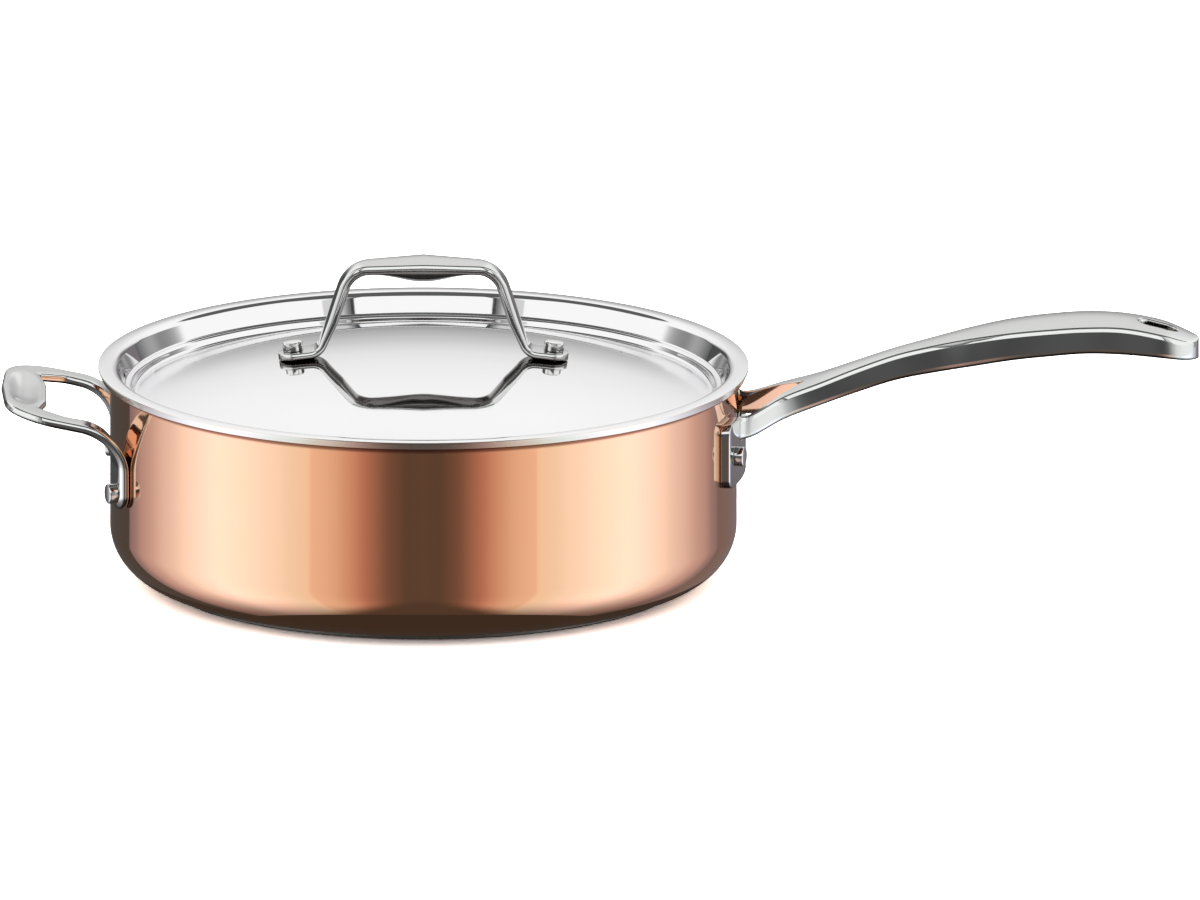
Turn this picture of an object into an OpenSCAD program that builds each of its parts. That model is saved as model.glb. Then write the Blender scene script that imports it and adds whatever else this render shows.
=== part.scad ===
// Saute pan: three-ply copper vessel with a long handle, a helper handle and a stepped steel lid.
// The origin is the centre of the base, +Z is up and +X runs out along the long handle.

/* [Vessel] */
// Inner diameter of the straight wall
pan_inner_d = 240; // [200:1:320]
// Height of the rim's top face above the surface that the pan stands on
rim_top_z = 84.2; // [76:0.1:140]
// Thickness of the outer copper ply
copper_t = 0.4; // [0.2:0.05:1]
// Thickness of the aluminium ply between copper and steel
core_t = 1.4; // [0.8:0.1:3]
// Thickness of the inner steel ply
liner_t = 0.5; // [0.3:0.05:1]
// Outer radius of the rounded corner between floor and wall
corner_r = 20.5; // [12:0.5:24]
// How far the pouring rim reaches out past the wall
lip_reach = 3.7; // [2.4:0.1:5]
// Radius of the bend under the pouring rim
lip_bend_r = 1.5; // [0.8:0.1:2]

/* [Base disc] */
// Diameter of the steel disc under the floor
base_disc_d = 206; // [150:1:208]
// Thickness of the steel disc
base_disc_t = 1.8; // [0.8:0.1:5]
// Rounding of the disc's lower edge
base_disc_edge_r = 0.6; // [0.2:0.1:0.7]

/* [Rivets] */
// Diameter of the raised outer head
rivet_head_d = 7.9; // [6:0.1:10]
// Height of the raised outer head
rivet_head_h = 3.7; // [1.5:0.1:4]
// Rounding of the raised head's edge
rivet_edge_r = 0.7; // [0.3:0.1:1.2]
// Diameter of the shank
rivet_shank_d = 5; // [3:0.1:5.5]
// Diameter of the flat head on the inside
rivet_inner_d = 9.5; // [7:0.1:12]
// Height of the flat head on the inside
rivet_inner_h = 1.4; // [0.8:0.1:2]
// Radial clearance between a shank and its holes
rivet_gap = 0.05; // [0.02:0.01:0.1]

/* [Long handle] */
// Thickness of the curved plate on the wall
plate_t = 3.5; // [2.5:0.1:5]
// Width of the plate across the handle
plate_w = 79; // [74:1:90]
// Height of the plate
plate_h = 25.5; // [22:0.5:32]
// Distance from the rim's underside down to the plate's top edge
plate_drop = 12; // [6:0.5:20]
// Radius of the plate's corners
plate_corner_r = 4; // [2:0.5:6]
// Distance between the plate's rivets, measured straight across
plate_rivet_gap = 62; // [54:1:64]
// Reach of the handle from the plate's face to its tip
handle_reach = 176.7; // [140:1:220]
// Rise of the handle's crown above the plate's top edge
handle_rise = 35.1; // [20:0.1:60]
// Width of the grip
grip_w = 30.4; // [24:0.2:34]
// Depth of the grip from top to underside
grip_depth = 10; // [8:0.5:14]
// Length of the hang slot
slot_length = 15.4; // [12:0.2:20]
// Width of the hang slot
slot_w = 9; // [6:0.2:12]
// Metal left between the hang slot and the tip
slot_end_wall = 8.2; // [6:0.2:12]
// Width of the fork's opening at the plate's face
fork_w = 38; // [30:1:42]
// Depth of the fork's opening from the plate's face
fork_depth = 22; // [16:0.5:26]

/* [Helper handle] */
// Thickness of the cast loop
helper_t = 3.6; // [3:0.1:5]
// Reach of the loop from the wall
helper_reach = 42.5; // [38:0.5:60]
// Distance between the centres of the two feet, measured straight across
helper_feet_gap = 74; // [64:1:84]
// Width of each foot
helper_foot_w = 13; // [11:0.5:16]
// Depth of the rivets below the rim's top face
helper_rivet_drop = 41.2; // [36:0.2:41.4]
// Height from the rivets up to the start of the bend
helper_upright = 9; // [6:0.5:14]
// Outer radius of the bend from the feet to the loop
helper_bend_r = 20; // [16:0.5:24]
// Upward slope of the loop in degrees
helper_slope = 12; // [0:1:20]
// Width of the thumb rest along the reach
thumb_w = 18.2; // [14:0.2:22]
// Depth of the scoop in the thumb rest
thumb_scoop = 2; // [0.5:0.1:2.2]

/* [Lid] */
// Sheet thickness of the lid
lid_t = 1; // [0.6:0.1:2]
// How far the lid's flange reaches past the pouring rim
lid_overhang = 1; // [0:0.1:3]
// Width of the flange, from its edge to the line where its face would meet the upper step's wall
lid_flange_w = 7.1; // [6:0.1:8]
// Radius between the flange and the upper step
lid_flange_r = 3.2; // [2.4:0.1:4]
// Depth of the ledge below the flange
lid_ledge_depth = 8; // [5:0.1:12]
// Depth of the dome's edge below the flange
lid_drop = 11.5; // [11:0.1:20]
// Rise of the dome from its edge to its middle
dome_rise = 16.8; // [10:0.2:30]

/* [Lid handle] */
// Thickness of the strap along the legs
strap_t = 5.1; // [3:0.1:6]
// Thickness of the strap at the feet
strap_foot_t = 3.4; // [2.5:0.1:4]
// Width of the strap along the legs and feet
strap_w = 13.4; // [11:0.2:16]
// Width of the grip at the middle
strap_grip_w = 19.4; // [14:0.2:20]
// Extra depth of the rounded belly under the grip
strap_belly = 3.7; // [0:0.1:5]
// Height of the grip's top above the middle of the dome
strap_rise = 38.2; // [28:0.2:50]
// Distance between the lid rivets
strap_rivet_gap = 100.8; // [92:0.2:112]
// Length of each foot beyond its rivet
strap_foot_end = 6.3; // [5:0.1:8]
// Distance between the legs where they leave the feet
strap_leg_gap = 83.4; // [78:0.2:84]
// Distance between the legs at the corners of the grip
strap_top_gap = 61.4; // [48:0.2:70]
// Outer radius of the corners of the grip
strap_corner_r = 14; // [8:0.5:15]
// Radius of the bend between foot and leg
strap_foot_r = 4; // [2:0.5:5]

/* [Hidden] */

// Clearance between seated faces
seat_gap = 0.1;
// How far a cutting tool runs past what it cuts
overrun = 10;

// Vessel
wall_t = copper_t + core_t + liner_t;
wall_inner_r = pan_inner_d / 2;
wall_r = wall_inner_r + wall_t;
lip_r = wall_r + lip_reach;
lip_under_z = rim_top_z - wall_t;
bend_z = lip_under_z - lip_bend_r;
base_disc_r = base_disc_d / 2;
round_fn = 128;
arc_steps = 14;

// Rivets: how far the raised head's top swells, and the straight edge of the flat head
rivet_crown_share = 0.33;
rivet_inner_edge_share = 0.33;

// Handle plate
plate_top_z = lip_under_z - plate_drop;
plate_mid_z = plate_top_z - plate_h / 2;
plate_back_r = wall_r + seat_gap;
plate_face_r = plate_back_r + plate_t;
// The rivets sit below the plate's middle by this share of its height
plate_rivet_drop_share = 0.04;
plate_rivet_z = plate_mid_z - plate_rivet_drop_share * plate_h;
plate_rivet_angle = asin(plate_rivet_gap / 2 / plate_face_r);

// Long handle stations at equal steps from the plate's face to the tip, each as
// [height share of the rise, depth share of the grip's depth, width share of the grip's width]
handle_shares = [
  [0.000, 1.05, 1.51], [0.176, 1.02, 0.96], [0.319, 1.04, 0.70], [0.472, 1.09, 0.575],
  [0.614, 1.13, 0.54], [0.728, 1.21, 0.62], [0.834, 1.28, 0.79], [0.919, 1.29, 0.94],
  [0.972, 1.29, 1.01], [1.000, 1.27, 1.02], [0.982, 1.26, 0.98], [0.897, 1.10, 0.98],
  [0.762, 0.84, 0.96],
];
// Half a cross-section from the middle of the top round to the middle of the underside, as
// [share of the half width, share of the depth above the underside]
grip_section_shares = [
  [0.00, 1.00], [0.45, 0.985], [0.84, 0.94], [0.93, 0.90], [0.97, 0.84], [1.00, 0.75],
  [1.00, 0.45], [0.99, 0.16], [0.95, 0.05], [0.86, 0.01], [0.40, 0.00], [0.00, 0.00],
];
// Where the tip starts to round, as a share of the reach
tip_start_share = 0.89;
handle_root_x = plate_face_r;
handle_tip_x = handle_root_x + handle_reach;
tip_start_x = handle_root_x + tip_start_share * handle_reach;
// The loft starts inside the plate, by this share of the plate's thickness
root_inset_share = 0.9;
root_inset = root_inset_share * plate_t;
straight_rings = 26;
tip_rings = 8;
// How square the tip is in plan: 2 makes it an ellipse
tip_power = 2.5;
// The tip's rings follow a quarter circle up to this angle, short of a point
tip_angle = 88;
fork_tip_share = 0.45;
fork_tip_r = fork_tip_share * plate_t;
slot_mid_x = handle_tip_x - slot_end_wall - slot_length / 2;

// Helper handle
helper_rivet_z = rim_top_z - helper_rivet_drop;
helper_back_r = wall_r + seat_gap;
helper_face_r = helper_back_r + helper_t;
helper_foot_r = helper_foot_w / 2;
helper_rivet_angle = asin(helper_feet_gap / 2 / wall_r);
helper_bend_x = helper_back_r + helper_bend_r;
helper_bend_z = helper_rivet_z + helper_upright;
helper_end_r = wall_r + helper_reach;
// The loop is turned round the pan's axis over this angle, then cut to its outline
helper_sweep_angle = 120;
// Outline in plan: the outer corners and the long front curve, as shares of the foot's width
helper_corner_share = 1.6;
helper_front_share = 3;
// How far the front curve bows out, as a share of the reach
helper_crown_share = 0.05;
// The opening: half its width at the thumb rest, its corners there and how far they reach into the rest
helper_notch_share = 0.9;
helper_notch_corner_share = 0.6;
helper_notch_reach_share = 0.15;
// The rest's edge bulges into the opening over this share of the opening's half width
helper_bulge_share = 0.45;
// Where the opening is widest, before the thumb rest and beyond the feet
helper_widest_share = 0.41;
helper_widest_y_share = 0.2;
// The scoop: half its width across the rest, and how far its ends stay inside the feet
thumb_half_share = 0.36;
thumb_end_share = 1.6;

// Lid
lid_flange_z = rim_top_z + lid_t;
lid_r = lip_r + lid_overhang;
ledge_z = lid_flange_z - lid_ledge_depth;
dome_edge_z = lid_flange_z - lid_drop;
dome_top_z = dome_edge_z + dome_rise;
// The lid drops into the pan with this clearance to the wall at the foot of its upper step
lid_wall_gap = 2.7;
upper_step_r = wall_inner_r - lid_wall_gap - lid_t;
ledge_w = 2.3;
lower_step_lean = 1;
dome_r = upper_step_r - ledge_w - lower_step_lean;
ledge_round_r = 1.5;
// The dome's profile: the share of its rise that follows the square of the radius
dome_square_share = 0.82;
dome_steps = 22;
lid_bend_steps = 6;

// Lid handle
strap_rivet_x = strap_rivet_gap / 2;
strap_end_x = strap_rivet_x + strap_foot_end;
strap_grip_z = dome_top_z + strap_rise;
// The grip's top falls from its crease at the middle to its corners by this share of its width
strap_crease_share = 0.113;
strap_crease_drop = strap_crease_share * strap_grip_w;
// The strap thickens from foot to leg over this share of the distance between the rivets
strap_swell_share = 0.125;
// The belly reaches this share of the distance between the grip's corners to each side
strap_belly_share = 0.333;
// A foot's end is this share of the strap's width, rounded over the second share
strap_end_share = 0.72;
strap_end_run_share = 0.25;
strap_arc_steps = 7;
strap_section_shares = [
  [0.00, 1.00], [0.45, 0.985], [0.82, 0.93], [0.93, 0.86], [0.98, 0.76], [1.00, 0.62],
  [0.98, 0.42], [0.90, 0.20], [0.74, 0.05], [0.40, 0.00], [0.00, 0.00],
];

// Points of an arc round a centre, from one angle to another
function arc_points(centre, r, from, to, steps) =
  [for (i = [0:steps]) let (a = from + (to - from) * i / steps) centre + r * [cos(a), sin(a)]];

function unit(v) = v / norm(v);

// A path through corners [x, y, radius], with an arc of that radius at each inner corner
function round_path(corners, steps) = [
  for (i = [0:len(corners) - 1])
    let (p = [corners[i][0], corners[i][1]], r = corners[i][2])
    if (r == 0) p
    else let (
      a = unit([corners[i - 1][0], corners[i - 1][1]] - p),
      b = unit([corners[i + 1][0], corners[i + 1][1]] - p),
      half = acos(a * b) / 2,
      centre = p + unit(a + b) * r / sin(half),
      start = p + a * r / tan(half) - centre,
      end = p + b * r / tan(half) - centre,
      from = atan2(start[1], start[0]),
      turn = atan2(start[0] * end[1] - start[1] * end[0], start * end)
    ) each arc_points(centre, r, from, from + turn, steps)
];

function backwards(list) = [for (i = [len(list) - 1:-1:0]) list[i]];

// Unit normal of a path at point i, to the left of its direction
function path_normal(path, i) =
  let (d = unit(path[min(i + 1, len(path) - 1)] - path[max(i - 1, 0)])) [-d[1], d[0]];

// A smooth value between equally spaced rows of a table, at a share from 0 to 1 of its length
function smooth_value(table, share, column) =
  let (
    last = len(table) - 1,
    s = min(max(share, 0), 1) * last,
    i = min(floor(s), last - 1),
    u = s - i,
    p0 = table[max(i - 1, 0)][column], p1 = table[i][column],
    p2 = table[i + 1][column], p3 = table[min(i + 2, last)][column]
  )
  p1 + u * (p2 - p0) / 2 + u * u * (p0 - 2.5 * p1 + 2 * p2 - p3 / 2)
  + u * u * u * ((p3 - p0) / 2 + (p1 - p2) * 1.5);

// A closed skin over rings that have the same number of points
module loft(rings) {
  n = len(rings[0]);
  last = len(rings) - 1;
  polyhedron(
    points = [for (ring = rings) each ring],
    faces = concat(
      [for (j = [1:n - 2]) [0, j + 1, j]],
      [for (i = [0:last - 1], j = [0:n - 1]) each let (k = (j + 1) % n)
        [[i * n + j, i * n + k, (i + 1) * n + k], [i * n + j, (i + 1) * n + k, (i + 1) * n + j]]],
      [for (j = [1:n - 2]) [last * n, last * n + j, last * n + j + 1]]
    ),
    convexity = 6
  );
}

// Half a cross-section mirrored into a whole one, the middle points once
function whole_section(half) = concat(
  half, [for (i = [len(half) - 2:-1:1]) [-half[i][0], half[i][1]]]
);

// The vessel's surface at a depth inside its outer face, from the axis out to the lip
function vessel_curve(depth) = concat(
  [[0, base_disc_t + depth]],
  arc_points([wall_r - corner_r, base_disc_t + corner_r], corner_r - depth, -90, 0, arc_steps),
  arc_points([wall_r + lip_bend_r, bend_z], lip_bend_r + depth, 180, 90, arc_steps),
  [[lip_r, lip_under_z + depth]]
);

// One ply between two depths, with its rivet holes
module ply(outer_depth, inner_depth) {
  difference() {
    rotate_extrude($fn = round_fn)
      polygon(concat(vessel_curve(outer_depth), backwards(vessel_curve(inner_depth))));
    at_wall_rivets() rivet_hole(wall_r);
  }
}

// Children at the plate's two rivets and at the helper handle's two rivets, +X pointing out
module at_wall_rivets() {
  for (side = [-1, 1]) {
    at_plate_rivet(side) children();
    at_helper_rivet(side) children();
  }
}

module at_plate_rivet(side) {
  rotate([0, 0, side * plate_rivet_angle]) translate([0, 0, plate_rivet_z]) children();
}

module at_helper_rivet(side) {
  rotate([0, 0, 180 - side * helper_rivet_angle]) translate([0, 0, helper_rivet_z]) children();
}

// A hole along +X through anything near a distance from the axis
module rivet_hole(distance) {
  translate([distance - overrun, 0, 0]) rotate([0, 90, 0])
    cylinder(r = rivet_shank_d / 2 + rivet_gap, h = 2 * overrun, $fn = round_fn);
}

// A rivet along +Z, with its inner head below zero and its outer head above the grip length
module rivet(grip) {
  head_r = rivet_head_d / 2;
  inner_r = rivet_inner_d / 2;
  crown = rivet_crown_share * rivet_edge_r;
  rotate_extrude($fn = round_fn)
    polygon(concat(
      [[0, -rivet_inner_h], [inner_r - rivet_inner_h, -rivet_inner_h],
        [inner_r, -rivet_inner_edge_share * rivet_inner_h],
        [inner_r, 0], [rivet_shank_d / 2, 0], [rivet_shank_d / 2, grip], [head_r, grip]],
      arc_points(
        [head_r - rivet_edge_r, grip + rivet_head_h - rivet_edge_r - crown], rivet_edge_r, 0, 90, 6
      ),
      [[0, grip + rivet_head_h]]
    ));
}

// A rivet through the wall along +X: its inner head stays clear of the round wall
module wall_rivet(face_r) {
  start = sqrt(pow(wall_inner_r, 2) - pow(rivet_inner_d / 2, 2)) - seat_gap;
  translate([start, 0, 0]) rotate([0, 90, 0]) rivet(face_r + seat_gap - start);
}

// Vessel plies
module copper_shell() {
  color("peru") ply(0, copper_t);
}

module aluminium_core() {
  color("lightgray") ply(copper_t, copper_t + core_t);
}

module steel_liner() {
  color("silver") ply(copper_t + core_t, wall_t);
}

module base_disc() {
  color("dimgray") rotate_extrude($fn = round_fn)
    polygon(concat(
      [[0, 0]],
      arc_points([base_disc_r - base_disc_edge_r, base_disc_edge_r], base_disc_edge_r, -90, 0, 6),
      [[base_disc_r, base_disc_t], [0, base_disc_t]]
    ));
}

// Long handle
function handle_top(x) = plate_top_z
  + handle_rise * smooth_value(handle_shares, (x - handle_root_x) / handle_reach, 0);
function handle_depth(x) =
  grip_depth * smooth_value(handle_shares, (x - handle_root_x) / handle_reach, 1);
function tip_factor(x) =
  x <= tip_start_x ? 1
  : pow(1 - pow((x - tip_start_x) / (handle_tip_x - tip_start_x), tip_power), 1 / tip_power);
function handle_half_w(x) = grip_w / 2 * tip_factor(x)
  * smooth_value(handle_shares, (x - handle_root_x) / handle_reach, 2);

function handle_ring(x) = [
  for (p = whole_section(grip_section_shares))
    [x, p[0] * handle_half_w(x), handle_top(x) - handle_depth(x) * (1 - p[1])]
];

handle_ring_x = concat(
  [for (i = [0:straight_rings])
    handle_root_x - root_inset + (tip_start_x - handle_root_x + root_inset) * i / straight_rings],
  [for (i = [1:tip_rings])
    tip_start_x + (handle_tip_x - tip_start_x) * sin(tip_angle * i / tip_rings)]
);

// The fork's opening in plan, from well inside the plate to its rounded end. It also runs on through the
// plate's top edge, as deep as the bar, so that the copper wall shows between the tines
module fork_opening() {
  slope = fork_w / 2 / fork_depth;
  back_x = handle_root_x - overrun;
  apex_x = handle_root_x + fork_depth + fork_tip_r * (1 / sin(atan(slope)) - 1);
  polygon(round_path([
    [back_x, -(apex_x - back_x) * slope, 0], [apex_x, 0, fork_tip_r],
    [back_x, (apex_x - back_x) * slope, 0],
  ], arc_steps));
}

module hang_slot() {
  half_run = (slot_length - slot_w) / 2;
  for (side = [-1, 1]) translate([slot_mid_x + side * half_run, 0]) circle(slot_w / 2, $fn = round_fn);
  translate([slot_mid_x - half_run, -slot_w / 2]) square([2 * half_run, slot_w]);
}

// A curved plate on the wall: a shell between two radii, cut to a rounded outline
module curved_plate() {
  intersection() {
    translate([0, 0, plate_mid_z - plate_h]) difference() {
      cylinder(r = plate_face_r, h = 2 * plate_h, $fn = round_fn);
      translate([0, 0, -overrun])
        cylinder(r = plate_back_r, h = 2 * plate_h + 2 * overrun, $fn = round_fn);
    }
    translate([0, 0, plate_mid_z]) rotate([90, 0, 90])
      linear_extrude(plate_face_r + overrun) polygon(round_path([
        [0, -plate_h / 2, 0], [plate_w / 2, -plate_h / 2, plate_corner_r],
        [plate_w / 2, plate_h / 2, plate_corner_r], [-plate_w / 2, plate_h / 2, plate_corner_r],
        [-plate_w / 2, -plate_h / 2, plate_corner_r], [0, -plate_h / 2, 0],
      ], arc_steps));
  }
}

module long_handle() {
  color("gainsboro") difference() {
    union() {
      difference() {
        loft([for (x = handle_ring_x) handle_ring(x)]);
        linear_extrude(plate_top_z + handle_rise + overrun) fork_opening();
        translate([0, 0, -overrun]) cylinder(
          r = plate_back_r + plate_t / 2, h = plate_top_z + handle_rise + 2 * overrun, $fn = round_fn
        );
      }
      difference() {
        curved_plate();
        translate([0, 0, plate_top_z - grip_depth])
          linear_extrude(grip_depth + overrun) fork_opening();
      }
    }
    linear_extrude(plate_top_z + handle_rise + overrun) hang_slot();
    for (side = [-1, 1]) at_plate_rivet(side) rivet_hole(wall_r);
  }
}

module long_handle_rivet_near() {
  color("whitesmoke") at_plate_rivet(-1) wall_rivet(plate_face_r);
}

module long_handle_rivet_far() {
  color("whitesmoke") at_plate_rivet(1) wall_rivet(plate_face_r);
}

// Helper handle: the height of the loop's straight upper face at a distance from the pan's axis
function helper_top_z(r) =
  helper_bend_z + helper_bend_r / cos(helper_slope) + (r - helper_bend_x) * tan(helper_slope);

// A bent strap turned round the pan's axis, later cut to the loop's outline in plan
module helper_band() {
  top_end = helper_end_r + overrun;
  end_z = helper_top_z(top_end);
  polygon(concat(
    [[helper_back_r, helper_rivet_z - helper_foot_r]],
    arc_points([helper_bend_x, helper_bend_z], helper_bend_r, 180, 90 + helper_slope, arc_steps),
    [[top_end, end_z], [top_end, end_z - helper_t / cos(helper_slope)]],
    arc_points(
      [helper_bend_x, helper_bend_z], helper_bend_r - helper_t, 90 + helper_slope, 180, arc_steps
    ),
    [[helper_back_r + helper_t, helper_rivet_z - helper_foot_r]]
  ));
}

// The loop in plan, for the side where X is positive
module helper_plan() {
  outer_y = (helper_feet_gap + helper_foot_w) / 2;
  inner_y = (helper_feet_gap - helper_foot_w) / 2;
  start_x = wall_r * cos(helper_rivet_angle) - helper_foot_w;
  thumb_x = helper_end_r - thumb_w;
  widest_x = thumb_x - helper_widest_share * thumb_w;
  widest_y = inner_y + helper_widest_y_share * helper_foot_w;
  notch_y = helper_notch_share * inner_y;
  crown = helper_crown_share * helper_reach;
  corner = helper_corner_share * helper_foot_w;
  front = helper_front_share * helper_foot_w;
  notch_corner = helper_notch_corner_share * crown;
  notch_x = thumb_x + helper_notch_reach_share * thumb_w;
  bulge_y = helper_bulge_share * inner_y;
  difference() {
    polygon(round_path([
      [start_x, -outer_y, 0], [helper_end_r - crown, -outer_y, corner], [helper_end_r, 0, front],
      [helper_end_r - crown, outer_y, corner], [start_x, outer_y, 0],
    ], arc_steps));
    polygon(round_path([
      [start_x, -inner_y, 0], [start_x + helper_foot_w, -inner_y, 0],
      [widest_x, -widest_y, helper_foot_w / 2], [notch_x, -notch_y, notch_corner],
      [thumb_x, -bulge_y, helper_foot_w], [thumb_x, bulge_y, helper_foot_w],
      [notch_x, notch_y, notch_corner], [widest_x, widest_y, helper_foot_w / 2],
      [start_x + helper_foot_w, inner_y, 0], [start_x, inner_y, 0],
    ], arc_steps));
  }
}

// Keeps the round ends of the feet: all above the rivets, and a disc round each rivet
module helper_feet_shape() {
  translate([0, -helper_feet_gap, helper_rivet_z])
    cube([helper_end_r + overrun, 2 * helper_feet_gap, helper_end_r]);
  for (side = [-1, 1]) rotate([0, 0, side * helper_rivet_angle])
    translate([wall_r - overrun, 0, helper_rivet_z]) rotate([0, 90, 0])
      cylinder(r = helper_foot_r, h = 2 * overrun, $fn = round_fn);
}

// The scoop in the thumb rest: a lying rod with round ends that cuts in from above
module thumb_cut() {
  half_w = thumb_half_share * thumb_w;
  scoop_r = (pow(half_w, 2) + pow(thumb_scoop, 2)) / (2 * thumb_scoop);
  half_run = (helper_feet_gap - helper_foot_w) / 2 - thumb_end_share * half_w;
  mid_x = helper_end_r - thumb_w / 2;
  translate([mid_x, 0, helper_top_z(mid_x) + (scoop_r - thumb_scoop) / cos(helper_slope)]) {
    rotate([90, 0, 0]) translate([0, 0, -half_run])
      cylinder(r = scoop_r, h = 2 * half_run, $fn = round_fn);
    for (side = [-1, 1]) translate([0, side * half_run, 0]) sphere(r = scoop_r, $fn = round_fn);
  }
}

module helper_handle() {
  color("gainsboro") rotate([0, 0, 180]) difference() {
    intersection() {
      rotate([0, 0, -helper_sweep_angle / 2])
        rotate_extrude(angle = helper_sweep_angle, $fn = round_fn) helper_band();
      linear_extrude(rim_top_z + helper_end_r) helper_plan();
      helper_feet_shape();
    }
    thumb_cut();
    for (side = [-1, 1]) rotate([0, 0, side * helper_rivet_angle])
      translate([0, 0, helper_rivet_z]) rivet_hole(wall_r);
  }
}

module helper_rivet_near() {
  color("whitesmoke") at_helper_rivet(-1) wall_rivet(helper_face_r);
}

module helper_rivet_far() {
  color("whitesmoke") at_helper_rivet(1) wall_rivet(helper_face_r);
}

// Lid: the dome's height and slope at a radius
function dome_z(r) = let (s = pow(r / dome_r, 2))
  dome_top_z - dome_rise * (dome_square_share * s + (1 - dome_square_share) * s * s);
function dome_slope(r) = let (s = r / dome_r) atan(
  dome_rise / dome_r * (2 * dome_square_share * s + 4 * (1 - dome_square_share) * pow(s, 3))
);

// The lid's upper surface from its middle out to the flange's edge
lid_path = concat(
  [for (i = [0:dome_steps - 2]) let (r = dome_r * i / dome_steps) [r, dome_z(r)]],
  round_path([
    [dome_r * (1 - 1 / dome_steps), dome_z(dome_r * (1 - 1 / dome_steps)), 0],
    [dome_r, dome_edge_z, ledge_round_r],
    [dome_r + lower_step_lean, ledge_z, ledge_round_r],
    [upper_step_r, ledge_z, ledge_round_r / 2],
    [lid_r - lid_flange_w, lid_flange_z, lid_flange_r],
    [lid_r, lid_flange_z, 0],
  ], lid_bend_steps)
);
lid_under_path = [
  for (i = [0:len(lid_path) - 1])
    i == 0 ? lid_path[0] - [0, lid_t] : lid_path[i] - lid_t * path_normal(lid_path, i)
];

module at_lid_rivet(side) {
  angle = dome_slope(strap_rivet_x);
  translate([side * strap_rivet_x, 0, dome_z(strap_rivet_x)]) rotate([0, side * angle, 0]) children();
}

module lid_shell() {
  color("silver") difference() {
    rotate_extrude($fn = round_fn) polygon(concat(lid_path, backwards(lid_under_path)));
    for (side = [-1, 1]) at_lid_rivet(side) translate([0, 0, -overrun])
      cylinder(r = rivet_shank_d / 2 + rivet_gap, h = 2 * overrun, $fn = round_fn);
  }
}

// The strap's upper face from its left end to its middle, and the height of a foot's upper face
foot_angle = dome_slope(strap_rivet_x);
foot_rise = (strap_foot_t + seat_gap) / cos(foot_angle);
function foot_top(x) =
  dome_z(strap_rivet_x) + foot_rise + (strap_rivet_x - x) * tan(foot_angle);
strap_half = round_path([
  [-strap_end_x, foot_top(strap_end_x), 0],
  [-strap_leg_gap / 2, foot_top(strap_leg_gap / 2), strap_foot_r],
  [-strap_top_gap / 2, strap_grip_z - strap_crease_drop, strap_corner_r],
  [-strap_top_gap / 4, strap_grip_z - strap_crease_drop / 2, 0],
  [0, strap_grip_z, 0],
], strap_arc_steps);
// More stations along the straight runs, so that width and depth can change smoothly
strap_stations = [
  for (i = [0:len(strap_half) - 2]) each
    let (steps = max(1, ceil(norm(strap_half[i + 1] - strap_half[i]) / strap_t)))
    [for (k = [0:steps - 1]) strap_half[i] + (strap_half[i + 1] - strap_half[i]) * k / steps]
];
strap_path = concat(
  strap_stations, [[0, strap_grip_z]], [for (p = backwards(strap_stations)) [-p[0], p[1]]]
);

// Depth of the strap below its upper face, thinner on the feet and deeper under the grip
function strap_depth(p) =
  let (
    leg = min(max((p[1] - foot_top(strap_leg_gap / 2)) / (strap_swell_share * strap_rivet_gap), 0), 1),
    reach = strap_belly_share * strap_top_gap,
    grip = p[1] > strap_grip_z - strap_corner_r ? max(1 - abs(p[0]) / reach, 0) : 0,
    swell = grip * grip * (3 - 2 * grip)
  )
  strap_foot_t + (strap_t - strap_foot_t) * leg + strap_belly * swell;
// Half width: rounded at the ends of the feet, widest at the crease
function strap_half_w(p) =
  let (
    end = min((strap_end_x - abs(p[0])) / (strap_end_run_share * strap_w), 1),
    grip = p[1] > strap_grip_z - strap_corner_r ? max(1 - abs(p[0]) / (strap_top_gap / 2), 0) : 0
  )
  strap_w / 2 * (strap_end_share + (1 - strap_end_share) * sqrt(max(1 - pow(1 - end, 2), 0)))
  + (strap_grip_w - strap_w) / 2 * grip;

function strap_ring(i) =
  let (p = strap_path[i], n = path_normal(strap_path, i))
  [for (q = whole_section(strap_section_shares))
    let (down = strap_depth(p) * (1 - q[1]))
    [p[0] - n[0] * down, q[0] * strap_half_w(p), p[1] - n[1] * down]];

module lid_handle() {
  color("gainsboro") difference() {
    loft([for (i = [0:len(strap_path) - 1]) strap_ring(i)]);
    for (side = [-1, 1]) at_lid_rivet(side) translate([0, 0, -overrun])
      cylinder(r = rivet_shank_d / 2 + rivet_gap, h = 2 * overrun, $fn = round_fn);
  }
}

// A rivet through the lid: its inner head stays clear under the domed sheet
module lid_rivet(side) {
  under = lid_t + seat_gap + pow(rivet_inner_d / 2, 2) / dome_r;
  at_lid_rivet(side) translate([0, 0, -under]) rivet(under + strap_foot_t + 2 * seat_gap);
}

module lid_rivet_left() {
  color("whitesmoke") lid_rivet(-1);
}

module lid_rivet_right() {
  color("whitesmoke") lid_rivet(1);
}

copper_shell();
aluminium_core();
steel_liner();
base_disc();
long_handle();
long_handle_rivet_near();
long_handle_rivet_far();
helper_handle();
helper_rivet_near();
helper_rivet_far();
lid_shell();
lid_handle();
lid_rivet_left();
lid_rivet_right();
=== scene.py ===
# %% [markdown]
# # A copper saute pan with a stepped steel lid
# This script dresses a pan that was first made in CAD. The CAD model is loaded as a fixed frame:
# it says where each piece is, how large it is, and that the lid lifts off. Blender then makes each
# piece again with finer edges, gives it its metal, and puts it in a small studio.
# All lengths are written in millimetres, as a maker would write them, and turned into metres once.

# %% Load the CAD model as the frame
import math

import bmesh
import bpy
from mathutils import Matrix, Vector


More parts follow.
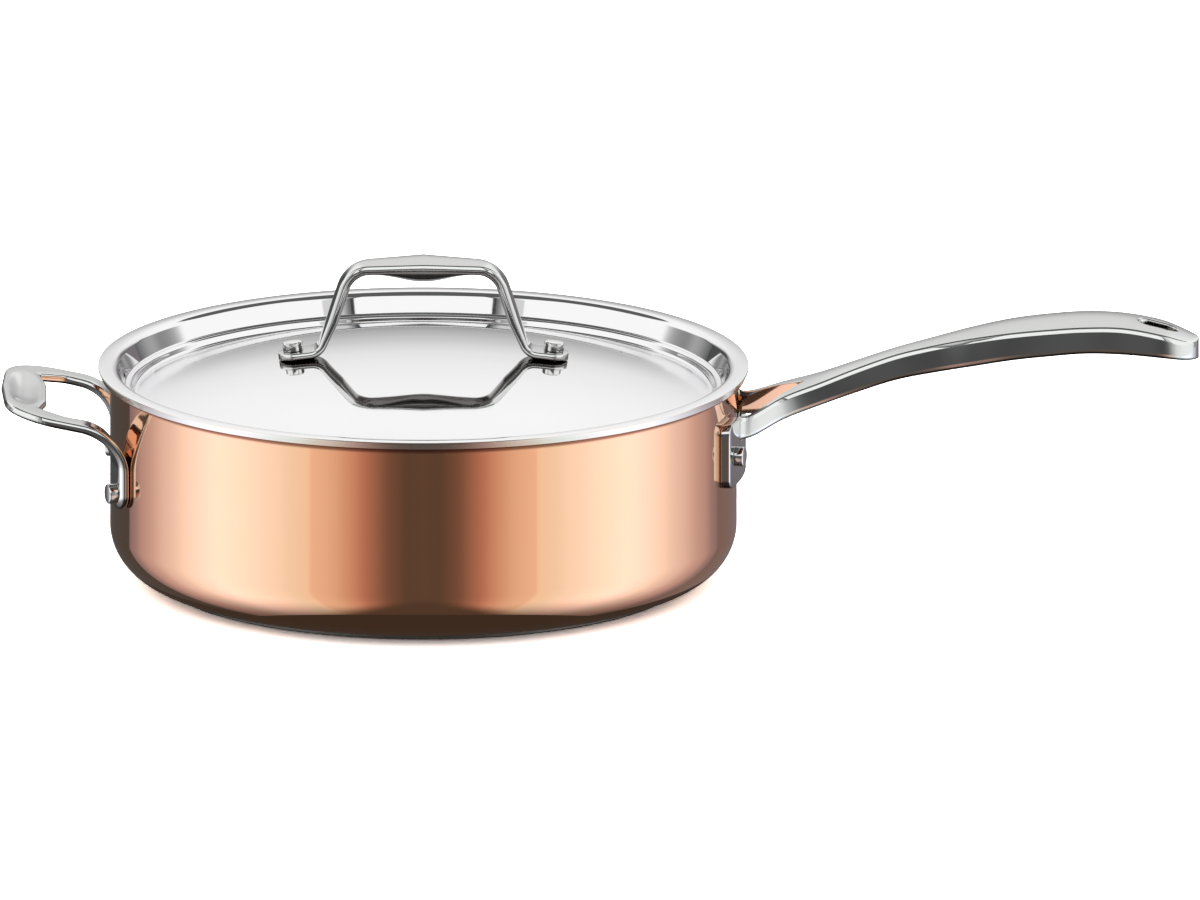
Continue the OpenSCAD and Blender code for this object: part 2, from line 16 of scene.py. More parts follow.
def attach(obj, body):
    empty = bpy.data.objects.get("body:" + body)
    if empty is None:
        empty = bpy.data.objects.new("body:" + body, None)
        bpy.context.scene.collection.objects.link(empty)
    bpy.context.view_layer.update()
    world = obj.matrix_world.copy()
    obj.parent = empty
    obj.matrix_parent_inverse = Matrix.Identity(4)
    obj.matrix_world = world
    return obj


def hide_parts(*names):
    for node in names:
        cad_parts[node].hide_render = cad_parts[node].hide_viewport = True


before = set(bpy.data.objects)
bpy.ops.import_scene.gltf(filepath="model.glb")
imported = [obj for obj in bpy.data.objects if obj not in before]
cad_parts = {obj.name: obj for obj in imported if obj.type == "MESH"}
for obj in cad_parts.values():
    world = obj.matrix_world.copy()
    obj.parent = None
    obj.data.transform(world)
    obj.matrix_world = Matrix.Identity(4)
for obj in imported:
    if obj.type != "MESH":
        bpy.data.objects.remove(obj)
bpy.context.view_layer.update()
MM = 0.001

# %% [markdown]
# ## Curves that are used again and again
# Sheet metal has few shapes: straight runs joined by bends. `round_path` joins straight runs with
# arcs, `arc` draws one bend, and `smooth_value` reads a smooth curve from a short table, the way a
# pattern maker draws a curve through a few measured points.

# %% Arcs, bends and smooth curves
def arc(centre, radius, start, end, steps):
    """Points of an arc between two angles in degrees."""
    angles = [math.radians(start + (end - start) * i / steps) for i in range(steps + 1)]
    return [(centre[0] + radius * math.cos(a), centre[1] + radius * math.sin(a)) for a in angles]


def round_path(corners, steps):
    """A path through corners (x, y, bend radius)."""
    path = []
    for i, (x, y, radius) in enumerate(corners):
        if radius == 0:
            path.append((x, y))
            continue
        here = Vector((x, y))
        back = (Vector(corners[i - 1][:2]) - here).normalized()
        ahead = (Vector(corners[(i + 1) % len(corners)][:2]) - here).normalized()
        half = math.acos(max(-1, min(1, back.dot(ahead)))) / 2
        centre = here + (back + ahead).normalized() * radius / math.sin(half)
        first = here + back * radius / math.tan(half) - centre
        last = here + ahead * radius / math.tan(half) - centre
        start = math.atan2(first.y, first.x)
        turn = math.atan2(first.x * last.y - first.y * last.x, first.dot(last))
        path += arc(centre, radius, math.degrees(start), math.degrees(start + turn), steps)
    return path


def both_sides(half, middle):
    """A plan that is the same on both sides: the near half's corners, the middle one, and their mirror image."""
    return half + [middle] + [(x, -y, radius) for x, y, radius in half[::-1]]


def smooth_value(table, share, column):
    """A smooth curve through equally spaced rows of a table, read at a share from 0 to 1."""
    last = len(table) - 1
    s = min(max(share, 0), 1) * last
    i = min(int(s), last - 1)
    u = s - i
    p0, p1 = table[max(i - 1, 0)][column], table[i][column]
    p2, p3 = table[i + 1][column], table[min(i + 2, last)][column]
    return (p1 + u * (p2 - p0) / 2 + u * u * (p0 - 2.5 * p1 + 2 * p2 - p3 / 2)
            + u * u * u * ((p3 - p0) / 2 + (p1 - p2) * 1.5))


def ease(value, low, high):
    """0 below low, 1 above high, and a smooth rise between them."""
    t = min(max((value - low) / (high - low), 0), 1)
    return t * t * (3 - 2 * t)

print("a quarter bend in 4 steps:", [tuple(round(c, 2) for c in p) for p in arc((0, 0), 1, 0, 90, 4)])

# %% [markdown]
# ## Three ways to make a piece
# The pan is spun, forged and cast, and the mesh code follows that. `spin` turns a profile round an
# axis, like a sheet on a spinning lathe. `skin` stretches a surface over cross-sections, like a
# forged bar. `slab` cuts a flat outline with rounded edges, which is then bent to its place.

# %% Spin, skin and slab
def spin(profile, turns=256):
    """Points and faces of a closed profile of (radius, height), turned round Z."""
    points, rows = [], []
    for radius, height in profile:
        if radius < 1e-6:
            rows.append([len(points)] * turns)
            points.append((0, 0, height))
        else:
            rows.append(list(range(len(points), len(points) + turns)))
            points += [(radius * math.cos(a), radius * math.sin(a), height)
                       for a in (math.tau * i / turns for i in range(turns))]
    faces = []
    for row, following in zip(rows, rows[1:] + rows[:1]):
        for i in range(turns):
            k = (i + 1) % turns
            loop = list(dict.fromkeys([row[i], row[k], following[k], following[i]]))
            if len(loop) > 2:
                faces.append(loop)
    return points, faces


def skin(rings):
    """Points and faces of a closed surface over rings with the same number of points."""
    n = len(rings[0])
    points = [p for ring in rings for p in ring]
    faces = [(i * n + j, i * n + (j + 1) % n, (i + 1) * n + (j + 1) % n, (i + 1) * n + j)
             for i in range(len(rings) - 1) for j in range(n)]
    last = (len(rings) - 1) * n
    return points, faces + [tuple(range(n - 1, -1, -1)), tuple(range(last, last + n))]


def inset(outline, distance):
    """A closed anticlockwise outline moved inwards."""
    moved = []
    for i, p in enumerate(outline):
        before = (Vector(p) - Vector(outline[i - 1])).normalized()
        after = (Vector(outline[(i + 1) % len(outline)]) - Vector(p)).normalized()
        along = (before + after).normalized()
        moved.append((p[0] - along.y * distance, p[1] + along.x * distance))
    return moved


def round_rows(thick, edge_r, steps=4):
    """The rows of a slab's edge, as (away from the outline, depth), rounded above and below."""
    rows = [(edge_r * (1 - math.sin(a)), edge_r * (1 - math.cos(a)))
            for a in (math.radians(90 * i / steps) for i in range(steps + 1))]
    return rows + [(away, thick - up) for away, up in reversed(rows)]


def slab(outline, rows, cuts, place):
    """A flat outline with edges in rows, sliced at cuts [(column, value)]. place(u, v, t) puts it in place."""
    shape = bmesh.new()
    loops = [[shape.verts.new((u, v, t)) for u, v in inset(outline, away)] for away, t in rows]
    for low, high in zip(loops, loops[1:]):
        for i in range(len(low)):
            k = (i + 1) % len(low)
            shape.faces.new((low[i], low[k], high[k], high[i]))
    shape.faces.new(list(reversed(loops[0])))
    shape.faces.new(loops[-1])
    for column, value in cuts:
        side = Vector((0, 0, 0))
        side[column] = 1
        bmesh.ops.bisect_plane(shape, geom=shape.verts[:] + shape.edges[:] + shape.faces[:],
                               plane_co=side * value, plane_no=side)
    shape.verts.index_update()
    points = [place(*v.co) for v in shape.verts]
    faces = [[v.index for v in f.verts] for f in shape.faces]
    shape.free()
    return points, faces


print("a washer has", len(spin([(5, 0), (9, 0), (9, 2), (5, 2)], 24)[1]), "faces")

# %% [markdown]
# All three handles have the same kind of edge: a slightly crowned top, a small round, a bevel that
# leans back by about 24 degrees, and a side that rolls under. Each of these shows its own line of
# light. `edge_run` walks down such an edge, and `bar_half` puts a crown and a belly to it.

# %% The section of a handle
BOW_START, BOW_FLAT = 0.55, 0.62                       # how long the belly follows the side, and its flat part


def edge_run(bends, steps=6):
    """Points (outwards, down) along an edge. A bend is (look at its start, look at its end, length);
    the look of a face is 90 for up, 0 for sideways and -90 for down."""
    run = [(0.0, 0.0)]
    for start, end, length in bends:
        for i in range(steps):
            look = math.radians(start + (end - start) * (i + 0.5) / steps)
            out, down = run[-1]
            run.append((out + math.sin(look) * length / steps, down + math.cos(look) * length / steps))
    return run


def bar_half(half_w, deep, tilt, bends, round_length=0.75, steps=10):
    """Half a section from the middle of the top to the middle of the underside, as (outwards, down)."""
    run = edge_run([(90 - tilt, bends[0][0] + 2, round_length)] + bends)
    crown_w = half_w - max(out for out, _ in run)
    sag = crown_w * math.tan(math.radians(tilt)) / 2
    crown = [(crown_w * i / steps, sag * (i / steps) ** 2) for i in range(steps)]
    run = [(crown_w + out, sag + down) for out, down in run]
    (out, down), look = run[-1], math.radians(bends[-1][1])
    pull = (deep - down) * BOW_START
    bow = [Vector((out, down)), Vector((out + math.sin(look) * pull, down + math.cos(look) * pull)),
           Vector((out * BOW_FLAT, deep)), Vector((0, deep))]
    belly = []
    for i in range(1, steps + 1):
        t = i / steps
        p = bow[0] * (1 - t) ** 3 + bow[1] * 3 * t * (1 - t) ** 2 + bow[2] * 3 * t * t * (1 - t) + bow[3] * t ** 3
        belly.append((p.x, p.y))
    return crown + run + belly


print("a bar's half section has", len(bar_half(8, 6, 8, [(28, 20, 0.9), (20, -16, 1.5)])), "points")

# %% [markdown]
# ## From points to a piece of the pan
# A piece stands for one CAD part and rides on that part's body. Edges that turn by more than a
# given angle stay crisp, and all else is shaded smoothly, because polished metal shows each flat
# facet as a broken reflection.

# %% Pieces, cuts and joints between them
def make_mesh(name, points, faces):
    """A closed mesh object from points in millimetres, with its faces turned outwards."""
    mesh = bpy.data.meshes.new(name)
    mesh.from_pydata([tuple(c * MM for c in p) for p in points], [], faces)
    shape = bmesh.new()
    shape.from_mesh(mesh)
    bmesh.ops.recalc_face_normals(shape, faces=shape.faces)
    shape.to_mesh(mesh)
    shape.free()
    made = bpy.data.objects.new(name, mesh)
    bpy.context.scene.collection.objects.link(made)
    return made


def combine(piece, tool, operation):
    """Cuts a tool away from a piece, or joins it to the piece, and removes the tool."""
    step = piece.modifiers.new("combine", "BOOLEAN")
    step.operation, step.solver, step.object = operation, "EXACT", tool
    bpy.context.view_layer.update()
    graph = bpy.context.evaluated_depsgraph_get()
    made = bpy.data.meshes.new_from_object(piece.evaluated_get(graph))
    piece.modifiers.clear()
    piece.data = made
    bpy.data.objects.remove(tool)


def settle(piece, node, body, crisp=32):
    """Smooths a piece, lets it stand for its CAD part, and puts it on its body."""
    piece.data.shade_smooth()
    piece.data.set_sharp_from_angle(angle=math.radians(crisp))
    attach(piece, body)
    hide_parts(node)
    print(piece.name, len(piece.data.polygons), "faces")


print("pieces are drawn in millimetres and stored at a scale of", MM)

# %% [markdown]
# ## The vessel: three metals in one sheet
# The body of the pan is pressed from one sheet that is copper outside, aluminium inside and steel
# where the food lies. All three follow one curve, so one function gives that curve at any depth in
# the sheet: a flat floor, a round corner, a straight wall and a rim that is rolled outwards.
# The cut edge of the sheet shows at the rim, where its corners are broken with a fine stone.

# %% The curve of the sheet and its three plies
COPPER_T, CORE_T, LINER_T = 0.4, 1.4, 0.5
WALL_T = COPPER_T + CORE_T + LINER_T
WALL_INNER_R, CORNER_R, DISC_T = 120, 20.5, 1.8
WALL_R = WALL_INNER_R + WALL_T
LIP_R, LIP_BEND_R, RIM_TOP_Z = 126, 1.5, 84.2
LIP_UNDER_Z = RIM_TOP_Z - WALL_T
BEND_Z = LIP_UNDER_Z - LIP_BEND_R
EDGE_BREAK = 0.15
FLOOR_RINGS = (0, 40, 80)


def vessel_curve(depth):
    """The sheet's surface at a depth under its outer face, from the middle out to the rim."""
    return ([(r, DISC_T + depth) for r in FLOOR_RINGS]
            + arc((WALL_R - CORNER_R, DISC_T + CORNER_R), CORNER_R - depth, -90, 0, 28)
            + arc((WALL_R + LIP_BEND_R, BEND_Z), LIP_BEND_R + depth, 180, 90, 16)
            + [(LIP_R - EDGE_BREAK, LIP_UNDER_Z + depth)])


def ply(outer, inner, break_low, break_high):
    """The closed profile of one ply. A broken corner runs in a short bevel, an inner one is square."""
    low, high = LIP_UNDER_Z + outer, LIP_UNDER_Z + inner
    edge = [(LIP_R, low + (EDGE_BREAK if break_low else 0)), (LIP_R, high - (EDGE_BREAK if break_high else 0))]
    return vessel_curve(outer) + edge + vessel_curve(inner)[::-1]


copper_shell = make_mesh("copper_shell_polished", *spin(ply(0, COPPER_T, True, False)))
aluminium_core = make_mesh("aluminium_core_edge", *spin(ply(COPPER_T, COPPER_T + CORE_T, False, False)))
steel_liner = make_mesh("steel_liner_spun", *spin(ply(COPPER_T + CORE_T, WALL_T, False, True)))
settle(copper_shell, "copper_shell", "pan")
settle(aluminium_core, "aluminium_core", "pan")
settle(steel_liner, "steel_liner", "pan")

# %% [markdown]
# ## The base disc
# A thin disc of steel is bonded under the floor, so that the pan also heats on an induction hob.
# It is turned on a lathe: its lower edge is rounded, its upper edge has a small bevel.

# %% Base disc
DISC_R, DISC_EDGE_R, DISC_BEVEL, DISC_RING_R = 103, 0.6, 0.2, 60
disc_profile = ([(0, 0), (DISC_RING_R, 0)] + arc((DISC_R - DISC_EDGE_R, DISC_EDGE_R), DISC_EDGE_R, -90, 0, 8)
                + [(DISC_R, DISC_T - DISC_BEVEL), (DISC_R - DISC_BEVEL, DISC_T),
                   (DISC_RING_R, DISC_T), (0, DISC_T)])
base_disc = make_mesh("base_disc_turned", *spin(disc_profile))
settle(base_disc, "base_disc", "pan")

# %% [markdown]
# ## Rivets
# Thick steel rivets hold the three handles. A rivet is a short turned pin: a flat head inside the
# pan, a shank through the wall, and a raised cylindrical head outside with a rounded edge and a
# slightly domed top. One profile serves all six, only the length of the shank changes.

# %% Rivets through the wall
HEAD_R, HEAD_H, HEAD_EDGE_R = 3.95, 3.7, 0.7
SHANK_R, FLAT_R, FLAT_H, SEAT_GAP = 2.5, 4.75, 1.4, 0.1
HEAD_SEAT_BEVEL, HEAD_EDGE_END = 0.1, 82               # the edge's round ends 8 degrees short of level
HEAD_DOME = ((2.2, 0.12), (1.1, 0.03), (0, 0))         # distance from the rivet's axis, drop from the top
FLAT_EDGE, FLAT_EDGE_LOW, FLAT_EDGE_HIGH = 0.15, 0.4, 0.3
CROWN = 0.33 * HEAD_EDGE_R


def rivet_profile(grip):
    """Half a rivet along Z: the flat head ends at 0 and the raised head starts at the grip length."""
    head_top = grip + HEAD_H
    return ([(0, -FLAT_H), (FLAT_R - FLAT_H, -FLAT_H), (FLAT_R - FLAT_EDGE, -FLAT_EDGE_LOW * FLAT_H),
             (FLAT_R, -FLAT_EDGE_HIGH * FLAT_H), (FLAT_R, 0), (SHANK_R, 0), (SHANK_R, grip),
             (HEAD_R - HEAD_SEAT_BEVEL, grip), (HEAD_R, grip + HEAD_SEAT_BEVEL)]
            + arc((HEAD_R - HEAD_EDGE_R, head_top - HEAD_EDGE_R - CROWN), HEAD_EDGE_R, 0, HEAD_EDGE_END, 8)
            + [(r, head_top - drop) for r, drop in HEAD_DOME])


def make_rivet(name, node, body, grip, stance):
    """A rivet that stands where the matrix says, in millimetres."""
    rivet = make_mesh(name, *spin(rivet_profile(grip), 96))
    stance = stance.copy()
    stance.translation = stance.translation * MM
    rivet.matrix_world = stance
    settle(rivet, node, body, crisp=40)
    return rivet


PLATE_T, HELPER_T = 3.5, 3.6
BACK_R = WALL_R + SEAT_GAP
PLATE_FACE_R, HELPER_FACE_R = BACK_R + PLATE_T, BACK_R + HELPER_T
RIVET_START = math.sqrt(WALL_INNER_R ** 2 - FLAT_R ** 2) - SEAT_GAP
PLATE_RIVETS_HALF, FEET_HALF = 31, 37                  # half the distance between two rivets
PLATE_RIVET_ANGLE = math.degrees(math.asin(PLATE_RIVETS_HALF / PLATE_FACE_R))
HELPER_RIVET_ANGLE = math.degrees(math.asin(FEET_HALF / WALL_R))
PLATE_RIVET_Z, HELPER_RIVET_Z = 56.13, 43.0


def wall_stance(angle, height):
    """Stands a rivet on the wall: its shank runs straight out from the pan's axis."""
    return (Matrix.Rotation(math.radians(angle), 4, "Z") @ Matrix.Translation((RIVET_START, 0, height))
            @ Matrix.Rotation(math.radians(90), 4, "Y"))


wall_rivets = []
for node, angle, height, face in (
    ("long_handle_rivet_near", -PLATE_RIVET_ANGLE, PLATE_RIVET_Z, PLATE_FACE_R),
    ("long_handle_rivet_far", PLATE_RIVET_ANGLE, PLATE_RIVET_Z, PLATE_FACE_R),
    ("helper_rivet_near", 180 + HELPER_RIVET_ANGLE, HELPER_RIVET_Z, HELPER_FACE_R),
    ("helper_rivet_far", 180 - HELPER_RIVET_ANGLE, HELPER_RIVET_Z, HELPER_FACE_R),
):
    grip = face + SEAT_GAP - RIVET_START
    wall_rivets.append(make_rivet(node + "_turned", node, "pan", grip, wall_stance(angle, height)))

# %% [markdown]
# ## The long handle
# The handle is forged from one bar: a curved plate that lies on the wall, a forked root, a narrow
# neck and a broad grip with a slot to hang it by. The bar is skinned over cross-sections at
# stations along its length. The fork and the slot are milled out, and each milled edge is rounded
# with a small cutter, which is what makes the thin bright lines along them.

# %% Long handle: the bar
PLATE_TOP_Z, PLATE_W, PLATE_H, PLATE_CORNER_R = 69.9, 79, 25.5, 4
HANDLE_REACH, HANDLE_RISE, GRIP_W, GRIP_DEPTH = 176.7, 35.1, 30.4, 10
ROOT_X = PLATE_FACE_R
TIP_X = ROOT_X + HANDLE_REACH
TIP_START_X = ROOT_X + 0.89 * HANDLE_REACH
# Equal steps from the plate to the tip: height, depth and width as shares of rise, depth and width, and
# the tilt of the crown at its edges in degrees
HANDLE_SHARES = [
    (0.000, 0.97, 1.51, 1.0), (0.176, 1.02, 0.96, 3.0), (0.319, 1.04, 0.70, 6.0), (0.472, 1.09, 0.575, 6.0),
    (0.614, 1.13, 0.54, 6.0), (0.728, 1.21, 0.62, 7.5), (0.834, 1.28, 0.79, 9.5), (0.919, 1.29, 0.94, 10.5),
    (0.972, 1.29, 1.01, 11.0), (1.000, 1.27, 1.02, 11.0), (0.982, 1.26, 0.98, 10.0), (0.897, 1.10, 0.98, 8.0),
    (0.762, 0.84, 0.96, 7.0),
]
HANDLE_EDGE_LENGTH, HANDLE_UNDER_LENGTH, HANDLE_BENDS_DEEP = 1.15, 1.9, 4.1
TIP_POWER, ROOT_START, ROOT_FILLET, ROOT_FLARE = 2.5, 123.2, 2.6, 0.28


def handle_share(x, column):
    """One of the shares at a distance from the pan's axis."""
    return smooth_value(HANDLE_SHARES, (x - ROOT_X) / HANDLE_REACH, column)


def handle_half(x):
    """Half the bar's cross-section at a distance from the pan's axis, as (y, z)."""
    top = PLATE_TOP_Z + HANDLE_RISE * handle_share(x, 0)
    deep = GRIP_DEPTH * handle_share(x, 1)
    round_end = (1 - (max(x - TIP_START_X, 0) / (TIP_X - TIP_START_X)) ** TIP_POWER) ** (1 / TIP_POWER)
    near = min(max(ROOT_START + ROOT_FILLET - x, 0), ROOT_FILLET)
    flare = ROOT_FLARE * max(ROOT_X - x, 0) + ROOT_FILLET - math.sqrt(ROOT_FILLET ** 2 - near ** 2)
    half_w, tilt = GRIP_W / 2 * handle_share(x, 2) + flare, handle_share(x, 3)
    plain = deep - HANDLE_BENDS_DEEP - half_w * math.tan(math.radians(tilt)) / 2
    side = [(28, 20, 1.2), (20, 9, 0.5), (9, 3, plain), (-4, -82, HANDLE_UNDER_LENGTH)]
    half = bar_half(half_w, deep, tilt, side, HANDLE_EDGE_LENGTH)
    return [(out * round_end, top - down) for out, down in half]


def handle_ring(x):
    """The bar's whole cross-section there."""
    half = handle_half(x)
    return [(x, y, z) for y, z in half + [(-y, z) for y, z in half[-2:0:-1]]]


BAR_STEPS, TIP_STEPS, ROOT_INSET = 150, 24, 3.15
stations = [ROOT_X - ROOT_INSET + (TIP_START_X - ROOT_X + ROOT_INSET) * i / BAR_STEPS for i in range(BAR_STEPS + 1)]
stations += [TIP_START_X + (TIP_X - TIP_START_X) * math.sin(math.radians(88 * i / TIP_STEPS))
             for i in range(1, TIP_STEPS + 1)]
long_handle = make_mesh("long_handle_forged", *skin([handle_ring(x) for x in stations]))
print("the bar has", len(stations), "stations of", len(handle_ring(ROOT_X)), "points")

# %% [markdown]
# A milling cutter with a rounded shoulder is one wall that flares where it meets the metal's upper
# and lower faces. The tool is made as that wall: each point of its outline goes up from far below
# to far above, and moves outwards near both faces of the bar.

# %% Long handle: the fork and the hang slot
FORK_HALF_W, FORK_DEPTH, FORK_TIP_R = 19, 22, 1.575
SLOT_LENGTH, SLOT_W, SLOT_X = 15.4, 9, 286.7
FORK_EDGE_R, SLOT_EDGE_R, NOTCH_DEPTH = 0.45, 0.9, 10
FORK_OVERRUN, FORK_STEPS, TOOL_DIP = 10, 40, 0.02
TOOL_LOW_Z, TOOL_HIGH_Z = -10, 140


def bar_faces(x, y):
    """Heights of the bar's upper and lower face over a point of the plan."""
    half = handle_half(min(max(x, ROOT_X), TIP_X - 0.5))
    widest = max(range(len(half)), key=lambda i: half[i][0])
    heights = []
    for line in (half[:widest + 1], half[widest:][::-1]):
        for (y0, z0), (y1, z1) in zip(line, line[1:]):
            if y0 <= abs(y) <= y1:
                heights.append(z0 + (z1 - z0) * (abs(y) - y0) / max(y1 - y0, 1e-6))
                break
        else:
            heights.append(line[-1][1])
    return heights


def milling_tool(name, outline, edge_r):
    """A tool along Z over an anticlockwise outline, with a rounded shoulder at both faces of the bar."""
    rows = [("low", 3 * edge_r, -9 * edge_r)]
    rows += [("low", edge_r * (1 - math.sin(a)), edge_r * (1 - math.cos(a)) - TOOL_DIP)
             for a in (math.radians(9 * i) for i in range(11))]
    rows += [("high", away, -up) for _, away, up in rows[::-1]]
    rings = []
    for face, away, up in rows:
        moved = inset(outline, -away)
        heights = [bar_faces(*p)[0 if face == "high" else 1] for p in outline]
        rings.append([(p[0], p[1], z + up) for p, z in zip(moved, heights)])
    return make_mesh(name, *skin(rings))


slope = FORK_HALF_W / FORK_DEPTH
fork_back_x = ROOT_X - FORK_OVERRUN
fork_apex_x = ROOT_X + FORK_DEPTH + FORK_TIP_R * (1 / math.sin(math.atan(slope)) - 1)
fork_run = fork_apex_x - fork_back_x
fork_side = [(fork_back_x + fork_run * i / FORK_STEPS, -fork_run * slope * (1 - i / FORK_STEPS), 0)
             for i in range(FORK_STEPS - 2)]
fork_outline = round_path(both_sides(fork_side, (fork_apex_x, 0, FORK_TIP_R)), 14)
slot_run = (SLOT_LENGTH - SLOT_W) / 2
slot_outline = (arc((SLOT_X + slot_run, 0), SLOT_W / 2, -90, 90, 24)
                + arc((SLOT_X - slot_run, 0), SLOT_W / 2, 90, 270, 24))
combine(long_handle, milling_tool("fork_tool", fork_outline, FORK_EDGE_R), "DIFFERENCE")
combine(long_handle, milling_tool("slot_tool", slot_outline, SLOT_EDGE_R), "DIFFERENCE")
bore_r = BACK_R + PLATE_T / 2
bore_profile = [(0, TOOL_LOW_Z), (bore_r, TOOL_LOW_Z), (bore_r, TOOL_HIGH_Z), (0, TOOL_HIGH_Z)]
bore = make_mesh("wall_clearance", *spin(bore_profile))
combine(long_handle, bore, "DIFFERENCE")
print("the fork is", round(fork_run - FORK_OVERRUN, 1), "mm deep and the slot", SLOT_LENGTH, "mm long")

# %% [markdown]
# The plate is a flat blank with rounded corners, bent to the curve of the wall: its outline keeps
# its width straight across, and each point moves back by what the wall curves away there.

# %% Long handle: the curved plate
plate_mid_z = PLATE_TOP_Z - PLATE_H / 2
plate_corners = [(sy * PLATE_W / 2, plate_mid_z + sz * PLATE_H / 2, PLATE_CORNER_R)
                 for sy, sz in ((-1, -1), (1, -1), (1, 1), (-1, 1))]
plate_outline = round_path(plate_corners, 12)


def bend_to_wall(y, z, t):
    """A point of a flat blank on the round wall, t out from the blank's back."""
    return (math.sqrt((BACK_R + t) ** 2 - y * y), y, z)


PLATE_EDGE_R, NOTCH_BACK, NOTCH_FRONT, NOTCH_ABOVE, NOTCH_EXTRA = 0.45, 12, 1, 5, 0.1
plate_cuts = [(0, y) for y in range(-int(PLATE_W / 2), int(PLATE_W / 2) + 1)]
plate = make_mesh("plate", *slab(plate_outline, round_rows(PLATE_T, PLATE_EDGE_R), plate_cuts, bend_to_wall))
notch_back, notch_front = BACK_R - NOTCH_BACK, ROOT_X + NOTCH_FRONT
notch_plan = [(notch_back, -1), (notch_front, -1), (notch_front, 1), (notch_back, 1)]
notch_plan = [(x, side * (fork_apex_x - x + NOTCH_EXTRA) * slope) for x, side in notch_plan]
notch = make_mesh("notch_tool", *skin([[(x, y, z) for x, y in notch_plan]
                                       for z in (PLATE_TOP_Z - NOTCH_DEPTH, PLATE_TOP_Z + NOTCH_ABOVE)]))
combine(plate, notch, "DIFFERENCE")
combine(long_handle, plate, "UNION")
settle(long_handle, "long_handle", "pan", crisp=28)

# %% [markdown]
# ## The helper handle
# A loop of steel strap helps to lift the full pan. Two feet lie on the wall, the strap bends
# outwards over both, and they meet in a broad thumb rest with a scooped dish. The loop is cut as a
# flat blank along the strap: `u` runs up the wall, round the bend and outwards, `v` runs across.

# %% Helper handle: the strap and its blank
BEND_R, BEND_X, HELPER_BEND_Z, SLOPE = 20, BACK_R + 20, 52.0, math.radians(12)
FOOT_HALF, HELPER_END_R, STRAIGHTEN = 6.5, 164.8, 26
BEND_ANGLE = math.radians(90) - SLOPE


def strap_place(u, depth):
    """Distance from the pan's axis and height of the bent strap, depth out from its inner face."""
    if u <= 0:
        return BACK_R + depth, HELPER_BEND_Z + u
    a = min(u / BEND_R, BEND_ANGLE)
    run = u - a * BEND_R
    return (BEND_X - (BEND_R - depth) * math.cos(a) + run * math.cos(SLOPE),
            HELPER_BEND_Z + (BEND_R - depth) * math.sin(a) + run * math.sin(SLOPE))


def strap_x(u, v, depth):
    """How far out a point is: the feet follow the round wall, the loop itself is bent straight across."""
    r = strap_place(u, depth)[0]
    flat = ease(u, 0, STRAIGHTEN)
    return (1 - flat) * math.sqrt(r * r - v * v) + flat * math.sqrt(r * r - FEET_HALF ** 2)


def along_strap(x, v):
    """How far along the strap a point of the plan is."""
    low, high = 0.0, 90.0
    for _ in range(40):
        mid = (low + high) / 2
        low, high = (mid, high) if strap_x(mid, v, 0) < x else (low, mid)
    return low


THUMB_W, SCOOP_HALF_W, SCOOP_HALF_L, SCOOP_DEPTH, SCOOP_IN = 18.2, 6.7, 27, 2.1, 9.0
scoop_x = HELPER_END_R - SCOOP_IN


def strap_point(u, v, t):
    """A point of the blank on the bent strap, t up from its outer or lower face. The thumb rest is scooped."""
    depth = HELPER_T - t
    x, z = strap_x(u, v, depth), strap_place(u, depth)[1]
    rim = ((x - scoop_x) / SCOOP_HALF_W) ** 2 + (abs(v) / SCOOP_HALF_L) ** 3
    scoop = SCOOP_DEPTH * max(1 - rim, 0) ** 1.6 * (t / HELPER_T) ** 2
    return (-x, v, z - scoop)


TIP_LEAN, TIP_BOW, INSIDE_WALL = 0.5, 2.125, 110       # the sloping strap's lower edge leans out by TIP_LEAN
tip_r, thumb_x = HELPER_END_R - TIP_LEAN, HELPER_END_R - THUMB_W
outer_near = [(INSIDE_WALL, -43.5, 0), (tip_r - TIP_BOW, -43.2, 21)]
inner_near = [(INSIDE_WALL, -30.5, 0), (124, -30.5, 30), (139, -33, 8), (thumb_x + 2.8, -27.5, 1.3),
              (thumb_x, -14, 20)]
outer_plan = round_path(both_sides(outer_near, (tip_r, 0, 39)), 20)
inner_plan = round_path(both_sides(inner_near, (thumb_x, 0, 0)), 12)


def fine(path, step):
    """More points along the straight runs of an open path."""
    made = []
    for p, q in zip(path, path[1:]):
        count = max(1, math.ceil(math.dist(p, q) / step))
        made += [(p[0] + (q[0] - p[0]) * i / count, p[1] + (q[1] - p[1]) * i / count) for i in range(count)]
    return made + [path[-1]]


def on_strap(path):
    """The part of a plan path that is past the wall's face, in the blank's own measures."""
    return [(along_strap(x, y), y) for x, y in fine(path, 0.8) if math.hypot(x, y) > BACK_R + 0.02]


foot_u = HELPER_RIVET_Z - HELPER_BEND_Z
outer_line, inner_line = on_strap(outer_plan), on_strap(inner_plan)
far_foot = arc((foot_u, FEET_HALF), FOOT_HALF, 90, 270, 24)
near_foot = arc((foot_u, -FEET_HALF), FOOT_HALF, 90, 270, 24)
blank = outer_line + far_foot + inner_line[::-1] + near_foot
rest_start = along_strap(thumb_x, 0)
BEND_CUTS, REST_CUTS, REST_STEP, ACROSS_CUTS = 28, 29, 0.6, 43
u_cuts = [(0, BEND_R * BEND_ANGLE * i / BEND_CUTS) for i in range(BEND_CUTS + 1)]
u_cuts += [(0, rest_start + REST_STEP * i) for i in range(1, REST_CUTS + 1)]
v_cuts = [(1, s * (0.5 + i)) for i in range(ACROSS_CUTS) for s in (-1, 1)]
strap_edge = edge_run([(90, 80, 2.0), (80, 30, 0.8), (28, 20, 0.6), (20, -4, 0.9), (-26, -84, 1.9)], 3)
reach = max(out for out, _ in strap_edge)
strap_rows = [(reach - out, HELPER_T * (1 - down / strap_edge[-1][1])) for out, down in strap_edge[::-1]]
